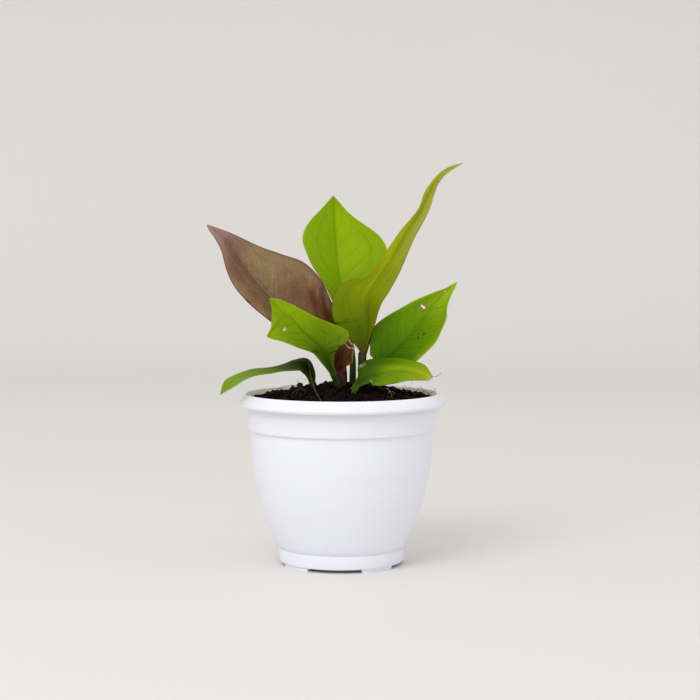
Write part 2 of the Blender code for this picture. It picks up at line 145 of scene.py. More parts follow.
# Each blade has stations from its base to its tip: the midrib's x, y and z, then how far the
# blade reaches to the left and right of the midrib. "faces" says which way the upper side looks.
# "folds" lift both halves into a V and "cup" curls their margins further, in degrees. "stalk" has
# x, y, z and radius from the crown to the blade. "veins" is the number of side veins, "sweep" how
# far they lean to the tip, "quilt" how far the blade swells between them, and "wave" the height,
# number and start of the waves along its margins. "fray" is how far the tip is torn. "anchor" is
# the place in its node's box that the blade keeps, as shares of the box. A mark is its kind, its
# place along and across the blade, and half its length and width. "halves" are factors on the
# leaf's colour for its left and right half. A wash is the factors of a soft patch, its place along
# and across the blade, and its half length and width as shares of the blade's. A stroke is the
# factors of a soft line, its half width, and the places along and across that it runs through.
# What a leaf doesn't say it takes from PLAIN_LEAF.
# Painted light and shade: the halves make one half of a leaf lit and the other in shade, the dark washes at a
# blade's base paint the shade there, and the bronze leaf's pale dabs are painted highlights.
PLAIN_LEAF = {"cup": 6, "fray": 0, "anchor": (0.5, 0.5, 0.5), "marks": (), "washes": (), "strokes": ()}
LEAVES = {
    "bronze_leaf": {
        **PLAIN_LEAF,
        "stations": [
            (-1, 9, 136, 2, 2), (-13, 3, 144, 10, 17), (-29, -7, 156, 20, 28), (-44, -18, 170, 24.5, 29),
            (-56, -28, 185, 24, 19.5), (-68.5, -39, 203, 13.5, 6.5), (-80, -50, 213.5, 0.2, 0.2),
        ],
        "faces": [(0.38, -0.84, 0.38), (0.38, -0.84, 0.38), (0.2, -0.93, 0.25)],
        "folds": (30, 26), "cup": 5, "veins": 9, "sweep": 0.3, "quilt": 0.3, "wave": (0.5, 2.5, 0.1),
        "stalk": [(1.5, 6.5, 98, 2), (1.5, 7.5, 108, 2), (1.5, 8.5, 121, 1.9), (-0.4, 9, 134.2, 1.6)],
        "marks": [("dark", 0.62, -0.97, 1.4, 1.2)],
        # Painted shade: the left half is darker than the right
        "halves": [(0.57, 0.45, 0.43), (1, 1, 1)],
        "washes": [
            ((0.9, 0.84, 0.76), 0.5, -0.95, 0.3, 0.25), ((1.2, 1.25, 1.9), 1, 0, 0.14, 1.5),
            ((0.85, 0.68, 0.62), 0.36, 0.6, 0.1, 0.25), ((0.6, 0.38, 0.2), 0.2, 0.62, 0.13, 0.2),
            ((0.56, 0.32, 0.1), 0.1, 0.6, 0.1, 0.5), ((0.85, 0.75, 0.85), 0.3, 0.95, 0.25, 0.1),
            # Painted shade at the base
            ((0.45, 0.28, 0.12), 0, 0, 0.1, 1.5),
        ],
        "strokes": [
            ((1.3, 1.45, 1.5), 0.5, [(0.48, -0.38), (0.62, -0.34), (0.75, -0.39), (0.9, -0.53)]),
            ((0.68, 0.56, 0.5), 0.4, [(0.48, 0.67), (0.56, 0.7), (0.63, 0.66), (0.73, 0.63)]),
            # Pale side veins, with a painted highlight along them
            ((1.22, 1.32, 1.5), 0.6, [(0.39, 0.1), (0.43, 0.35), (0.5, 0.6)]),
            ((1.16, 1.22, 1.35), 0.5, [(0.5, 0.04), (0.54, 0.3), (0.6, 0.5)]),
            # Painted highlights: glossy dabs and a soft sheen near the base's right margin
            ((1.6, 2, 2.8), 0.6, [(0.27, 0.74), (0.3, 0.8)]),
            ((1.5, 1.8, 2.4), 0.5, [(0.22, 0.68), (0.245, 0.75)]),
            ((1.4, 1.7, 2.2), 0.5, [(0.17, 0.8), (0.2, 0.88)]),
            ((1.2, 1.4, 1.7), 1.2, [(0.33, 0.7), (0.38, 0.85)]),
            ((1.15, 1.25, 0.8), 0.5, [(0.25, 0.4), (0.29, 0.5)]),
            ((0.72, 0.54, 0.46), 2.4, [(0.17, 0.3), (0.24, 0.5), (0.32, 0.66)]),
            ((0.62, 0.42, 0.3), 2.2, [(0.1, 0.45), (0.2, 0.72), (0.27, 0.9)]),
            ((0.8, 0.68, 0.86), 0.35, [(0.5, -0.02), (0.75, 0), (0.96, 0)]),
            ((0.95, 1.12, 0.85), 1.1, [(0.52, 0.2), (0.58, 0.4), (0.66, 0.55)]),
            ((0.96, 1.1, 0.85), 1, [(0.44, 0.2), (0.5, 0.45), (0.56, 0.62)]),
            ((0.97, 1.1, 0.85), 1.2, [(0.62, 0.2), (0.7, 0.4)]),
            ((1.05, 0.9, 1.12), 1.2, [(0.48, 0.2), (0.54, 0.45), (0.6, 0.62)]),
            ((1.05, 0.9, 1.15), 1.5, [(0.3, 0.25), (0.36, 0.45)]),
            ((1.06, 0.86, 1.25), 1.4, [(0.85, 0), (1, 0)]),
        ],
    },
    "back_leaf": {
        **PLAIN_LEAF,
        "stations": [
            (5, 12, 146, 2, 2), (2, 15, 160, 8, 12), (0, 19, 176, 17, 25), (-2, 22, 190, 28, 32),
            (-3, 24, 204, 31.5, 28), (-4, 25, 219, 19.5, 10.5), (-5, 24, 232, 0.2, 0.2),
        ],
        "faces": [(0.42, -0.9, 0.1), (0.42, -0.9, 0.1), (0.3, -0.95, 0.1)],
        "folds": (22, 22), "veins": 8, "sweep": 0.32, "quilt": 0.22, "wave": (0.6, 2, 0.3),
        "stalk": [(7.5, 8, 98, 2), (7, 9, 112, 2.2), (7, 10, 128, 2), (5.2, 12, 144.5, 1.6)],
        # Painted shade: the left half is darker, and so is the wash near the base on the left
        "halves": [(0.84, 0.92, 1), (1, 1, 1)],
        "washes": [
            ((0.86, 0.9, 1), 0.45, 0.85, 0.25, 0.3), ((0.6, 0.76, 1), 0.12, -0.3, 0.22, 0.9),
            ((0.8, 0.8, 1), 1, 0, 0.04, 1.5),
        ],
        "strokes": [
            ((0.8, 0.88, 1), 0.8, [(0.88, -0.5), (0.74, -0.57), (0.6, -0.56), (0.42, -0.42)]),
            ((0.8, 0.88, 1), 0.8, [(0.75, 0.62), (0.6, 0.68), (0.45, 0.6)]),
        ],
    },
    "tall_leaf": {
        **PLAIN_LEAF,
        "stations": [
            (13.2, 4.2, 133.6, 2.2, 2.5), (14.2, 3.9, 137.5, 7.5, 2.4), (15.5, 3.5, 142, 14.5, 2.4),
            (16.4, 2.9, 147, 19, 3.4), (16.3, 2, 153.5, 20.5, 7.5), (15.5, 1, 161, 22.3, 11.5),
            (17, 0, 169, 20.5, 13.5), (21.5, 0.5, 176.5, 8.5, 13.5), (30, 4, 189, 6.8, 11.2),
            (40, 11, 206.5, 5, 8.4), (50, 19, 221.5, 3, 5.6), (55, 26, 232, 3.6, 4.3),
            (60.5, 33, 241, 2.4, 2.4), (67.5, 42, 248, 1.7, 1.6), (79, 56, 253.8, 0.2, 0.2),
        ],
        "faces": [
            (-0.3, -0.9, 0.1), (-0.3, -0.9, 0.1), (-0.3, -0.9, 0.1), (-0.12, -0.9, 0.17),
            (0.08, -0.9, 0.28), (0.2, -0.9, 0.42), (0.2, -0.8, 0.5),
        ],
        "folds": (22, 23, 30, 39, 40, 36), "veins": 7, "sweep": 0.42, "quilt": 0.15, "wave": (0.4, 3, 0.6),
        "stalk": [(12.5, 4, 98, 2.3), (12.5, 3.5, 110, 2.4), (12.8, 4, 121, 2.6), (13.1, 4.3, 132, 2.7)],
        # Painted light and shade: the left half is lit and the right half in shade; the dark washes at the base
        # paint shade
        "halves": [(1.5, 1.58, 0.8), (0.88, 0.93, 0.8)],
        "washes": [
            ((1.5, 1.4, 14), 0.92, 0, 0.25, 1.5), ((1.12, 1.08, 12), 0.6, 0.6, 0.22, 0.4),
            ((0.78, 0.98, 0.3), 0.16, -0.85, 0.17, 0.4), ((0.4, 0.58, 0.4), 0.09, -0.2, 0.12, 0.6),
            ((0.68, 0.8, 0.5), 0.25, 0.7, 0.12, 0.5), ((0.25, 0.3, 0.5), 0, 0, 0.06, 1.5),
        ],
        "strokes": [
            ((0.82, 0.87, 1), 0.5, [(0.27, -0.5), (0.2, -0.67), (0.16, -0.6), (0.1, -0.5), (0.06, -0.33)]),
            ((0.72, 0.78, 1), 0.4, [(0.46, 0.36), (0.39, 0.35), (0.3, 0.17), (0.21, 0.1), (0.13, 0), (0.06, 0.1)]),
        ],
    },
    "right_leaf": {
        **PLAIN_LEAF,
        "stations": [
            (23.5, 6, 124.5, 9.5, 3), (30.5, 5, 130.5, 19.5, 13), (38, 3, 138.5, 20.5, 21),
            (47, 0, 149, 17, 22.5), (53.5, -3, 158, 12.5, 20), (60, -7, 167, 6, 15.5),
            (65, -10.5, 172.2, 2.4, 5.7), (71, -14, 178, 0.2, 0.2),
        ],
        "faces": [(-0.33, -0.88, 0.33), (-0.33, -0.88, 0.33), (-0.2, -0.93, 0.2)],
        "folds": (24, 20), "veins": 9, "sweep": 0.3, "quilt": 0.25, "wave": (0.4, 2.5, 0.2),
        "anchor": (1, 0.5, 0.5),
        "stalk": [(14, -2, 98, 2), (18.5, -0.5, 108, 2), (21.5, 3, 116, 1.9), (22.4, 5.7, 122.4, 1.7)],
        "marks": [
            ("hole", 0.64, -0.43, 1, 1.9), ("hole", 0.72, 0.3, 0.55, 0.6), ("cream", 0.87, -0.3, 0.9, 0.7),
            ("dark", 0.48, 0.4, 0.9, 0.8), ("dark", 0.42, 0.31, 0.6, 0.8), ("dark", 0.45, 0.2, 0.4, 0.4),
        ],
        # Painted light and shade: the left half is lighter, and the dark wash at the base paints shade
        "halves": [(1.25, 1.25, 1), (1, 1, 1)],
        "washes": [
            ((3.3, 2.2, 12), 1, -0.2, 0.28, 1.5), ((3.8, 2.5, 8), 0.86, -0.75, 0.22, 0.6),
            ((1.5, 1.4, 1), 0.62, -0.7, 0.3, 0.35), ((0.55, 0.66, 1), 0.08, 0.2, 0.22, 1),
            ((1.6, 1.3, 1.5), 0.5, 0.95, 0.35, 0.12),
        ],
    },
    "low_right_leaf": {
        **PLAIN_LEAF,
        "stations": [
            (8, -20.5, 111.8, 3.2, 1.5), (9.5, -18.5, 115, 2.2, 2.5), (13.5, -16.5, 118.5, 5.5, 5.2),
            (17, -15.5, 120.3, 14, 8), (24, -16.5, 122.1, 13.3, 10.8), (31.5, -19.5, 123.4, 12, 11),
            (39.5, -23.5, 123.8, 10.5, 10), (47, -27.5, 122.5, 9.3, 6.5), (55.5, -31.5, 120.3, 1.2, 2.6),
        ],
        "faces": [(-0.1, -0.7, 0.7), (-0.1, -0.65, 0.75), (0.1, -0.65, 0.75)],
        "folds": (2, 2), "cup": -10, "veins": 7, "sweep": 0.3, "quilt": 0.3, "wave": (0.2, 2, 0.5),
        "fray": 0.03, "anchor": (1, 0.5, 0.5),
        "stalk": [
            (7, -4.5, 98, 2), (7, -6.5, 102, 2), (7, -13, 104.5, 2), (7.4, -19, 107, 1.9),
            (7.9, -20.6, 110.9, 1.7),
        ],
        "marks": [("hole", 0.235, 0.7, 0.8, 0.8), ("hole", 0.23, -0.8, 0.45, 0.8)],
        # Painted light and shade: the right half is lighter, and the dark wash at the base paints shade
        "halves": [(0.95, 1, 1), (1.15, 1.05, 1)],
        "washes": [
            ((0.36, 0.5, 1), 0.3, -0.75, 0.22, 0.4), ((1.45, 1.17, 1), 0.6, -0.25, 0.25, 0.2),
            ((1.9, 1.3, 3), 0.88, 0, 0.18, 1.5), ((0.42, 0.6, 1), 0.28, 0, 0.09, 0.5),
            ((2.6, 1.5, 9), 0.98, 0.2, 0.05, 1), ((0.17, 0.24, 0.5), 0.1, 0, 0.18, 1.5),
        ],
        "strokes": [((1.3, 1.1, 1), 1.6, [(0.3, -0.1), (0.6, -0.2), (0.8, -0.2), (0.95, -0.1)])],
    },
    "front_left_leaf": {
        **PLAIN_LEAF,
        "stations": [
            (-6, -13, 122, 2.2, 1.6), (-8.5, -15, 126.5, 2.8, 3.2), (-11, -17, 130.5, 3.3, 6.8),
            (-12.2, -18, 132.8, 3.9, 8.6), (-13.1, -19.2, 135.2, 4.8, 11.8), (-14, -20.4, 137.2, 5.5, 20.5),
            (-16, -22, 139.8, 6.2, 17), (-22.5, -26.8, 146.3, 10, 13.1), (-27.7, -30.8, 151.7, 13, 10.7),
            (-32.3, -34.2, 156.6, 16.8, 8.6), (-34.7, -36, 159.2, 17.3, 7.5),
            (-36.5, -37.4, 161, 10.6, 6.5), (-39, -39.2, 163.6, 5.6, 5.2), (-41.2, -40.9, 166, 2.7, 3.6),
            (-44, -43, 169, 0.2, 0.2),
        ],
        "faces": [(-0.2, -0.9, 0.3), (-0.2, -0.9, 0.3)],
        "folds": (0, 0, 2, 5, 4, 3), "cup": 5, "veins": 8, "sweep": 0.25, "quilt": 0.15,
        "wave": (0.2, 2, 0), "anchor": (0, 0.5, 0.5),
        "stalk": [(0.5, -4, 98, 2), (-1.5, -6, 109, 2.1), (-3.3, -9, 116, 2), (-5.3, -12.2, 120.6, 1.9)],
        "marks": [("cream", 0.68, -0.45, 0.9, 1.1)],
        # Painted light and shade: the left half is darker and the right lighter; the dark wash at the base paints
        # shade
        "halves": [(0.85, 0.88, 1), (1.1, 1.08, 1)],
        "washes": [
            ((1.1, 1, 3), 0.75, -0.85, 0.2, 0.3), ((0.75, 0.82, 1), 0.42, -0.5, 0.15, 0.6),
            ((0.1, 0.19, 1), 0.05, 0, 0.3, 1.5),
        ],
        "strokes": [
            ((0.62, 0.72, 1), 0.5, [(0.12, 0.3), (0.27, 0.1), (0.46, 0), (0.64, 0.08), (0.73, 0.14)]),
            ((0.76, 0.84, 1), 0.5, [(0.14, 0.5), (0.23, 0.71), (0.36, 0.55), (0.5, 0.66)]),
        ],
    },
    "low_left_leaf": {
        **PLAIN_LEAF,
        "stations": [
            (-18, 0, 115, 2.7, 1.6), (-18.5, -0.5, 118.5, 3.5, 2.8), (-20, -1.5, 122.3, 4.5, 4),
            (-23, -3, 126, 6, 6.3), (-27.5, -5, 127.3, 6.5, 4.8), (-33.5, -8, 126, 5.5, 5),
            (-44, -13, 124.7, 6, 6), (-53.5, -18, 123, 5, 6), (-62.5, -22, 120, 7, 6.5),
            (-69, -25, 116, 6.5, 6), (-74.5, -27, 109.8, 0.2, 0.2),
        ],
        "faces": [
            (0.5, -0.8, 0.2), (0.3, -0.8, 0.4), (0.1, -0.5, 0.85), (0, -0.25, 1), (-0.3, -0.4, 0.9),
            (-0.5, -0.45, 0.8),
        ],
        "folds": (0, 0, -10, -10, 0, 3), "cup": 2, "veins": 8, "sweep": 0.3, "quilt": 0.15,
        "wave": (0.4, 3, 0.2),
        "stalk": [(-17, 2, 98, 1.9), (-17, 2, 106, 1.9), (-17.8, 0.4, 113.6, 1.8)],
        "halves": [(1, 1, 1), (0.95, 1, 0.8)],
        # Painted shade: the dark wash near the base, at the bend
        "washes": [((1.1, 1.05, 6), 0.72, -0.2, 0.12, 1.5), ((0.03, 0.075, 0.1), 0.15, 0, 0.36, 1.5)],
    },
    "curled_leaf": {
        **PLAIN_LEAF,
        "stations": [
            (-1.5, -3, 122, 5, 4), (-1, -3.5, 126.5, 10, 7), (0, -4, 131, 11, 11), (1, -4.5, 136, 10, 10),
            (2, -4.5, 140.5, 7, 6), (1.7, -4.5, 143.5, 4, 3),
        ],
        "faces": [(0.1, -1, 0), (0.15, -1, 0.1)],
        "folds": (30, 30), "cup": 55, "veins": 6, "sweep": 0.5, "quilt": 0.3, "wave": (0.5, 3, 0.4),
        "fray": 0.12,
        "stalk": [(-1, 1.5, 98, 2), (0.5, 0, 108, 2.3), (0.3, -1.6, 114, 2.8), (-1.3, -2.8, 120.4, 2.6)],
        # Painted shade: the left half is darker, and so is the wash at the base
        "halves": [(0.62, 0.66, 0.85), (1, 1, 1)],
        "washes": [
            ((1.6, 2.1, 1.5), 0.75, -0.3, 0.12, 0.3), ((0.3, 0.3, 0.4), 0.4, -0.4, 0.3, 0.17),
            ((1.6, 2.4, 3.5), 1, 0, 0.05, 1.5), ((0.6, 0.36, 1.2), 0, 0, 0.15, 1.5),
        ],
    },
}

# Factors on a leaf's colour for its veins, margin, patches and underside, and its other looks
GREEN_LOOK = {
    "vein": (0.62, 0.72, 1),
    "margin": (1.2, 1.1, 2),
    "patch": (0.85, 0.9, 1),
    "under": (1.15, 1.05, 12),
    "scorch": (0.3, 0.13, 0.03),
    "vein_strength": 0.35,
    "patch_amount": 0.4,
    "scorch_start": 1.2,
    "roughness": 0.42,
    "specular": 0.09,
    "net": 0.12,
    "stalk": (1, 1, 1),
}
LOOKS = {
    "bronze_leaf": {
        **GREEN_LOOK,
        "vein": (1.35, 1.4, 1.7), "margin": (0.75, 0.45, 0.7), "patch": (0.8, 0.64, 0.74),
        "under": (0.9, 0.6, 0.8), "stalk": (0.8, 0.6, 0.6),
        "vein_strength": 0.6, "patch_amount": 0.9, "roughness": 0.36, "specular": 0.3, "net": 0.5,
    },
    "back_leaf": {**GREEN_LOOK, "vein_strength": 0.16, "stalk": (0.6, 0.8, 0.4)},
    "tall_leaf": {**GREEN_LOOK, "vein_strength": 0.25, "margin": (1, 0.6, 4), "stalk": (1.1, 0.62, 0.5)},
    "right_leaf": {**GREEN_LOOK, "vein_strength": 0.42, "net": 0.25, "margin": (1.8, 1.4, 3)},
    "low_right_leaf": {
        **GREEN_LOOK,
        "scorch": (0.55, 0.37, 0.31), "scorch_start": 0.95, "vein_strength": 0.12, "stalk": (0.5, 0.68, 0.2),
    },
    "front_left_leaf": {**GREEN_LOOK, "vein_strength": 0.25, "stalk": (0.55, 0.62, 0.2)},
    "low_left_leaf": {
        **GREEN_LOOK,
        "margin": (1.4, 1.3, 4), "under": (1, 1, 1.5), "vein_strength": 0.25, "stalk": (0.3, 0.34, 0.3),
    },
    "curled_leaf": {
        **GREEN_LOOK,
        "vein": (0.6, 0.6, 0.6), "margin": (2, 2.2, 2.5), "patch": (0.55, 0.5, 0.5),
        "under": (0.9, 0.9, 0.9), "stalk": (1.25, 0.8, 1.2),
        "vein_strength": 0.5, "patch_amount": 0.7, "roughness": 0.55, "specular": 0.2, "net": 0.25,
    },
}
BROWN_STALKED = ("bronze_leaf", "curled_leaf")
BROWN_STREAK = (0.6, 0.7, 0.7)
GREEN_STREAK = (1.5, 1.4, 1.4)
CROWN_STREAK = (1.8, 1.0, 1.0)
STREAK_SCALE = 120.0

# Single fibres that lie on the soil and over the rim: material, radius, then points, in millimetres
BROWN, PALE = 0, 1
FIBRES = [
    (BROWN, 0.22, [(-20.5, -9, 129), (-19, -14, 119), (-16, -30, 112), (-12, -50, 107.5), (-10.5, -57, 105.5)]),
    (BROWN, 0.16, [(-46, -4, 105), (-40, -6, 111), (-30, -7, 113.5), (-22, -6, 110)]),
    (BROWN, 0.14, [(-34, -10, 106), (-27, -9, 111), (-21, -8, 109)]),
    (BROWN, 0.14, [(50, -14, 105), (51, -14, 110), (55, -14, 109), (59, -14, 112)]),
    (BROWN, 0.14, [(44, -16, 106), (49, -17, 113), (52, -17, 108)]),
    (BROWN, 0.14, [(55, -32, 120.8), (58, -32, 121), (61, -32, 123)]),
    (PALE, 0.3, [(1, -17, 143.6), (1.4, -17.4, 141.6), (2.5, -17, 140.3), (4.4, -17.3, 137.8), (8.1, -16.5, 137.2)]),
    (PALE, 0.26, [(2, -17, 144.2), (3.5, -17.5, 143.4), (5.3, -17, 141.2), (7.5, -17, 139.3), (8.7, -16.5, 137.5)]),
]
BROWN_FIBRE = (0.16, 0.07, 0.03)
PALE_FIBRE = (0.72, 0.62, 0.5)
BROWN_FIBRE_STREAK = (0.5, 0.5, 0.5)
PALE_FIBRE_STREAK = (0.6, 0.55, 0.5)
FIBRE_SEED = 11
# Root hairs: the ring they stand in, and their steps, spread, rise and radii, in millimetres
HAIR_RING = (30, 54)
HAIR_STEPS = 3
HAIR_SPREAD = 2.6
HAIR_RISE = (-0.4, 1.6)
HAIR_RADII = (0.11, 0.05)
PALE_HAIR_EVERY = 4

# The pot's section, in metres from its axis and its feet. The rim's radius and top are the node's box
RIM_RADIUS = POT_HIGH.x
RIM_TOP = POT_HIGH.z
MOUTH_RADIUS = RIM_RADIUS - 4.3 * MM
MOUTH_ROUND = 1.2 * MM
# The lip's outside as (inset from the rim's radius, drop from its top), in millimetres
LIP_POINTS = ((4.1, 0.0), (2.2, 1.9), (0.8, 4.2), (0.0, 6.0), (0.5, 7.3), (1.8, 8.0))
LIP_STEPS = 26
LIP_END = RIM_TOP - 8.0 * MM
LIP_ROUND = 0.5 * MM
HOLLOW_TOP = RIM_TOP - 5.0 * MM
HOLLOW_ROUND = 1.2 * MM
BAND_RADIUS = RIM_RADIUS - 5.8 * MM
BAND_BOTTOM = RIM_TOP - 22.7 * MM
BAND_ROUND = 0.6 * MM
SHOULDER_ROUND = 0.8 * MM
SHOULDER_RISE = 0.7 * MM
BODY_TOP_RADIUS = RIM_RADIUS - 7.6 * MM
BODY_TOP = RIM_TOP - 24.2 * MM
BODY_BULGE = 2.1
BODY_STEPS = 30
FOOT_BAND_RADIUS = 40.0 * MM
FOOT_BAND_TOP = 11.5 * MM
FOOT_BAND_ROUND = 0.6 * MM
FOOT_BAND_DROP = 1.5 * MM
GROOVE_INSET = 0.9 * MM
GROOVE_TOP = 0.5 * MM
FOOT_RADIUS = 38.4 * MM
FOOT_THICKNESS = 3.4 * MM
FOOT_HEIGHT = 2.0 * MM
FOOT_ROUND = 1.2 * MM
FOOT_INSET = 0.8 * MM
# The gaps between the four feet, and how sharp their edges are, in degrees
FOOT_GAP = 54.0
FOOT_GAP_CENTRES = (263.0, 353.0, 83.0, 173.0)
FOOT_EDGE = 0.25
FLOOR_BOTTOM = 5.0 * MM
FLOOR_TOP = 6.8 * MM
DRAIN_RADIUS = 3.5 * MM
DRAIN_CIRCLE = 25.0 * MM
DRAIN_COUNT = 6
DRAIN_SEGMENTS = 32
DRILL_DEPTH = 8 * MM
SHARP_EDGE = math.radians(40)
SMUDGE_COLOUR = (0.55, 0.52, 0.45)
SPECK_COLOUR = (0.35, 0.3, 0.24)
MOUTH_TINT_COLOUR = (0.82, 0.82, 0.66)
MOUTH_TINT_STRENGTH = 0.9

# The soil's surface, which falls a little to the back and is heaped round the crown, in metres
SOIL_EDGE = 104.4 * MM
SOIL_FALL = 0.035
SOIL_HEAP = 9.0 * MM
SOIL_HEAP_CENTRE = Vector((0.0, 12.0 * MM))
SOIL_HEAP_SPREAD = 27.0 * MM
SOIL_LUMPS = 2.6 * MM
SOIL_LUMP_SIZE = 6.0 * MM
SOIL_SINK = 1.0 * MM
# The grain under the crumbs as (height in millimetres, size)
SOIL_GRAINS = ((0.9, 2.2 * MM), (0.5, 1.0 * MM))
SOIL_CLEARANCE = 2 * MM
SOIL_RADIUS = SOIL_HIGH.x
SOIL_RINGS = 84
SOIL_TURNS = 240
SOIL_SIDE_STEPS = 6
# Crumbs: radii in millimetres, and the rest as shares of the radius
CRUMB_SEED = 7
CLUMP_SIZES = (0.8, 1.7)
CRUMB_SIZES = (0.4, 1.0)
CRUMB_MARGIN = 1.2
CRUMB_UNEVENNESS = 0.16
CRUMB_STRETCH = (0.6, 1.25)
CRUMB_LIFT = (0.1, 0.7)

# The stage, in metres
BACKDROP_DEPTH = 2.0
BACKDROP_BEND = 0.6
STAGE_HALF_WIDTH = 12.0
STAGE_FRONT = -12.0
STAGE_TOP = 2.8
BEND_STEPS = 24
FLOOR_CLOUD = (0.97, 0.97, 0.97)
KEY_PLACE = Vector((-0.7, -1.4, 1.6))
KEY_SIZE = 1.2
KEY_COLOUR = (1.0, 0.98, 0.95)
SKY_COLOUR = (1.0, 0.985, 0.97, 1.0)
CAMERA_SIDE = 5.3 * MM


def colour_property(name, default, description="Main colour"):
    return FloatVectorProperty(
        name=name, description=description, subtype="COLOR", size=3, min=0.0, max=1.0, default=default
    )


def length_property(name, default, description, **limits):
    return FloatProperty(
        name=name, description=description, subtype="DISTANCE", unit="LENGTH", default=default, **limits
    )


class PotSettings(bpy.types.PropertyGroup):
    """Sizes and colour of the pot."""

    colour: colour_property("Plastic", (0.85, 0.868, 0.965), "Colour of the moulded plastic")
    wall: length_property("Wall", 1.5 * MM, "Thickness of the wall and lip", min=0.0005)
    steps: IntProperty(name="Steps", description="Steps in a full turn of the pot", min=48, default=192)


class SoilSettings(bpy.types.PropertyGroup):
    """Colour, crumbs and root hairs of the soil."""

    colour: colour_property("Soil", (0.005, 0.0024, 0.0022), "Colour of the moist mix")
    clumps: IntProperty(name="Clumps", description="Number of large clumps", min=0, default=900)
    crumbs: IntProperty(name="Crumbs", description="Number of small crumbs", min=0, default=4200)
    hairs: IntProperty(name="Hairs", description="Number of fine root hairs", min=0, default=26)


class FoliageSettings(bpy.types.PropertyGroup):
    """Thickness and colours of the leaves."""

    thickness: length_property("Thickness", 0.45 * MM, "Thickness of a blade", min=0.0001)
    bronze_leaf: colour_property("Bronze leaf", (0.328, 0.226, 0.105))
    back_leaf: colour_property("Back leaf", (0.315, 0.465, 0.001))
    tall_leaf: colour_property("Tall leaf", (0.3, 0.33, 0.003))
    right_leaf: colour_property("Right leaf", (0.109, 0.242, 0.001))
    low_right_leaf: colour_property("Low right leaf", (0.125, 0.26, 0.001))
    front_left_leaf: colour_property("Front left leaf", (0.255, 0.415, 0.001))
    low_left_leaf: colour_property("Low left leaf", (0.2, 0.33, 0.005))
    curled_leaf: colour_property("Curled leaf", (0.215, 0.09, 0.028))
    green_stalk: colour_property("Green stalks", (0.05, 0.085, 0.008), "Colour of the green stalks")
    brown_stalk: colour_property("Brown stalks", (0.085, 0.03, 0.018), "Colour of the brown and red stalks")


class StageSettings(bpy.types.PropertyGroup):
    """Floor, light and camera."""

    floor: colour_property("Floor", (0.795, 0.782, 0.765), "Colour of the floor and backdrop")
    key: FloatProperty(
        name="Key light", description="Power of the front left light", unit="POWER", default=15.3
    )
    sky: FloatProperty(name="Sky", description="Strength of the light from all round", min=0.0, default=0.86)
    distance: length_property("Camera distance", 1.171, "From the pot's axis to the camera")
    height: length_property("Camera height", 0.2155, "Above the floor")
    tilt: FloatProperty(
        name="Camera tilt", description="Downward tilt of the camera", subtype="ANGLE", unit="ROTATION",
        default=math.radians(3.93),
    )
    lens: FloatProperty(name="Lens", description="Focal length in millimetres", default=96.0)


class PlantSettings(bpy.types.PropertyGroup):
    """All the settings of the potted plant."""

    pot: PointerProperty(type=PotSettings)
    soil: PointerProperty(type=SoilSettings)
    foliage: PointerProperty(type=FoliageSettings)
    stage: PointerProperty(type=StageSettings)


class Graph:
    """Adds nodes to a tree from left to right and joins them to what they are given."""

    def __init__(self, tree):
        self.tree = tree

    def join(self, node, values):
        """Joins values or sockets to a node's inputs, by title or number."""
        for title, value in values.items():
            socket = node.inputs[title]
            if isinstance(value, bpy.types.NodeSocket):
                self.tree.links.new(value, socket)
            else:
                socket.default_value = (*value[:3], 1.0) if socket.type == "RGBA" else value

    def add(self, kind, inputs=None, **settings):
        node = self.tree.nodes.new(kind)
        node.location = (NODE_STEP * len(self.tree.nodes), 0.0)
        for setting, value in settings.items():
            setattr(node, setting, value)
        self.join(node, inputs or {})
        return node

    def math(self, operation, *values):
        return self.add("ShaderNodeMath", dict(enumerate(values)), operation=operation).outputs[0]

    def times(self, first, second):
        return self.math("MULTIPLY", first, second)

    def minus(self, first, second):
        return self.math("SUBTRACT", first, second)

    def scaled(self, value, factor, offset):
        return self.math("MULTIPLY_ADD", value, factor, offset)

    def smooth(self, value, low, high):
        """0 below low, 1 above high and a smooth step between."""
        inputs = {"Value": value, "From Min": low, "From Max": high}
        return self.add("ShaderNodeMapRange", inputs, interpolation_type="SMOOTHSTEP").outputs["Result"]

    def mix(self, factor, first, second, blend="MIX"):
        inputs = dict(zip(MIX_COLOUR_SOCKETS, (factor, first, second)))
        node = self.add("ShaderNodeMix", inputs, data_type="RGBA", blend_type=blend)
        return node.outputs[MIX_COLOUR_OUTPUT]

    def multiplied(self, amount, colour, factors):
        return self.mix(amount, colour, factors, "MULTIPLY")

    def noise(self, vector, scale, detail=3.0, roughness=0.5):
        inputs = {"Vector": vector, "Scale": scale, "Detail": detail, "Roughness": roughness}
        return self.add("ShaderNodeTexNoise", inputs).outputs["Fac"]

    def place(self):
        """The point on the surface, in the object's own metres."""
        return self.add("ShaderNodeTexCoord").outputs["Object"]

    def stretched(self, scale):
        """The point on the surface, with each axis scaled for streaks."""
        return self.add("ShaderNodeMapping", {"Vector": self.place(), "Scale": scale}).outputs[0]

    def split(self, vector):
        return self.add("ShaderNodeSeparateXYZ", {"Vector": vector}).outputs

    def group(self, name, build, inputs):
        """The outputs of the shared node group of this name, which is built the first time it is asked for."""
        shared = bpy.data.node_groups.get(name) or build()
        return self.add("ShaderNodeGroup", inputs, node_tree=shared).outputs


def new_group(name, inputs, outputs):
    """A shader node group with these sockets, as (graph, input sockets by title, output node)."""
    group = bpy.data.node_groups.new(name, "ShaderNodeTree")
    for way, sockets in (("INPUT", inputs), ("OUTPUT", outputs)):
        for title, kind in sockets.items():
            group.interface.new_socket(title, in_out=way, socket_type="NodeSocket" + kind)
    graph = Graph(group)
    given = graph.add("NodeGroupInput")
    return graph, given.outputs, graph.add("NodeGroupOutput")


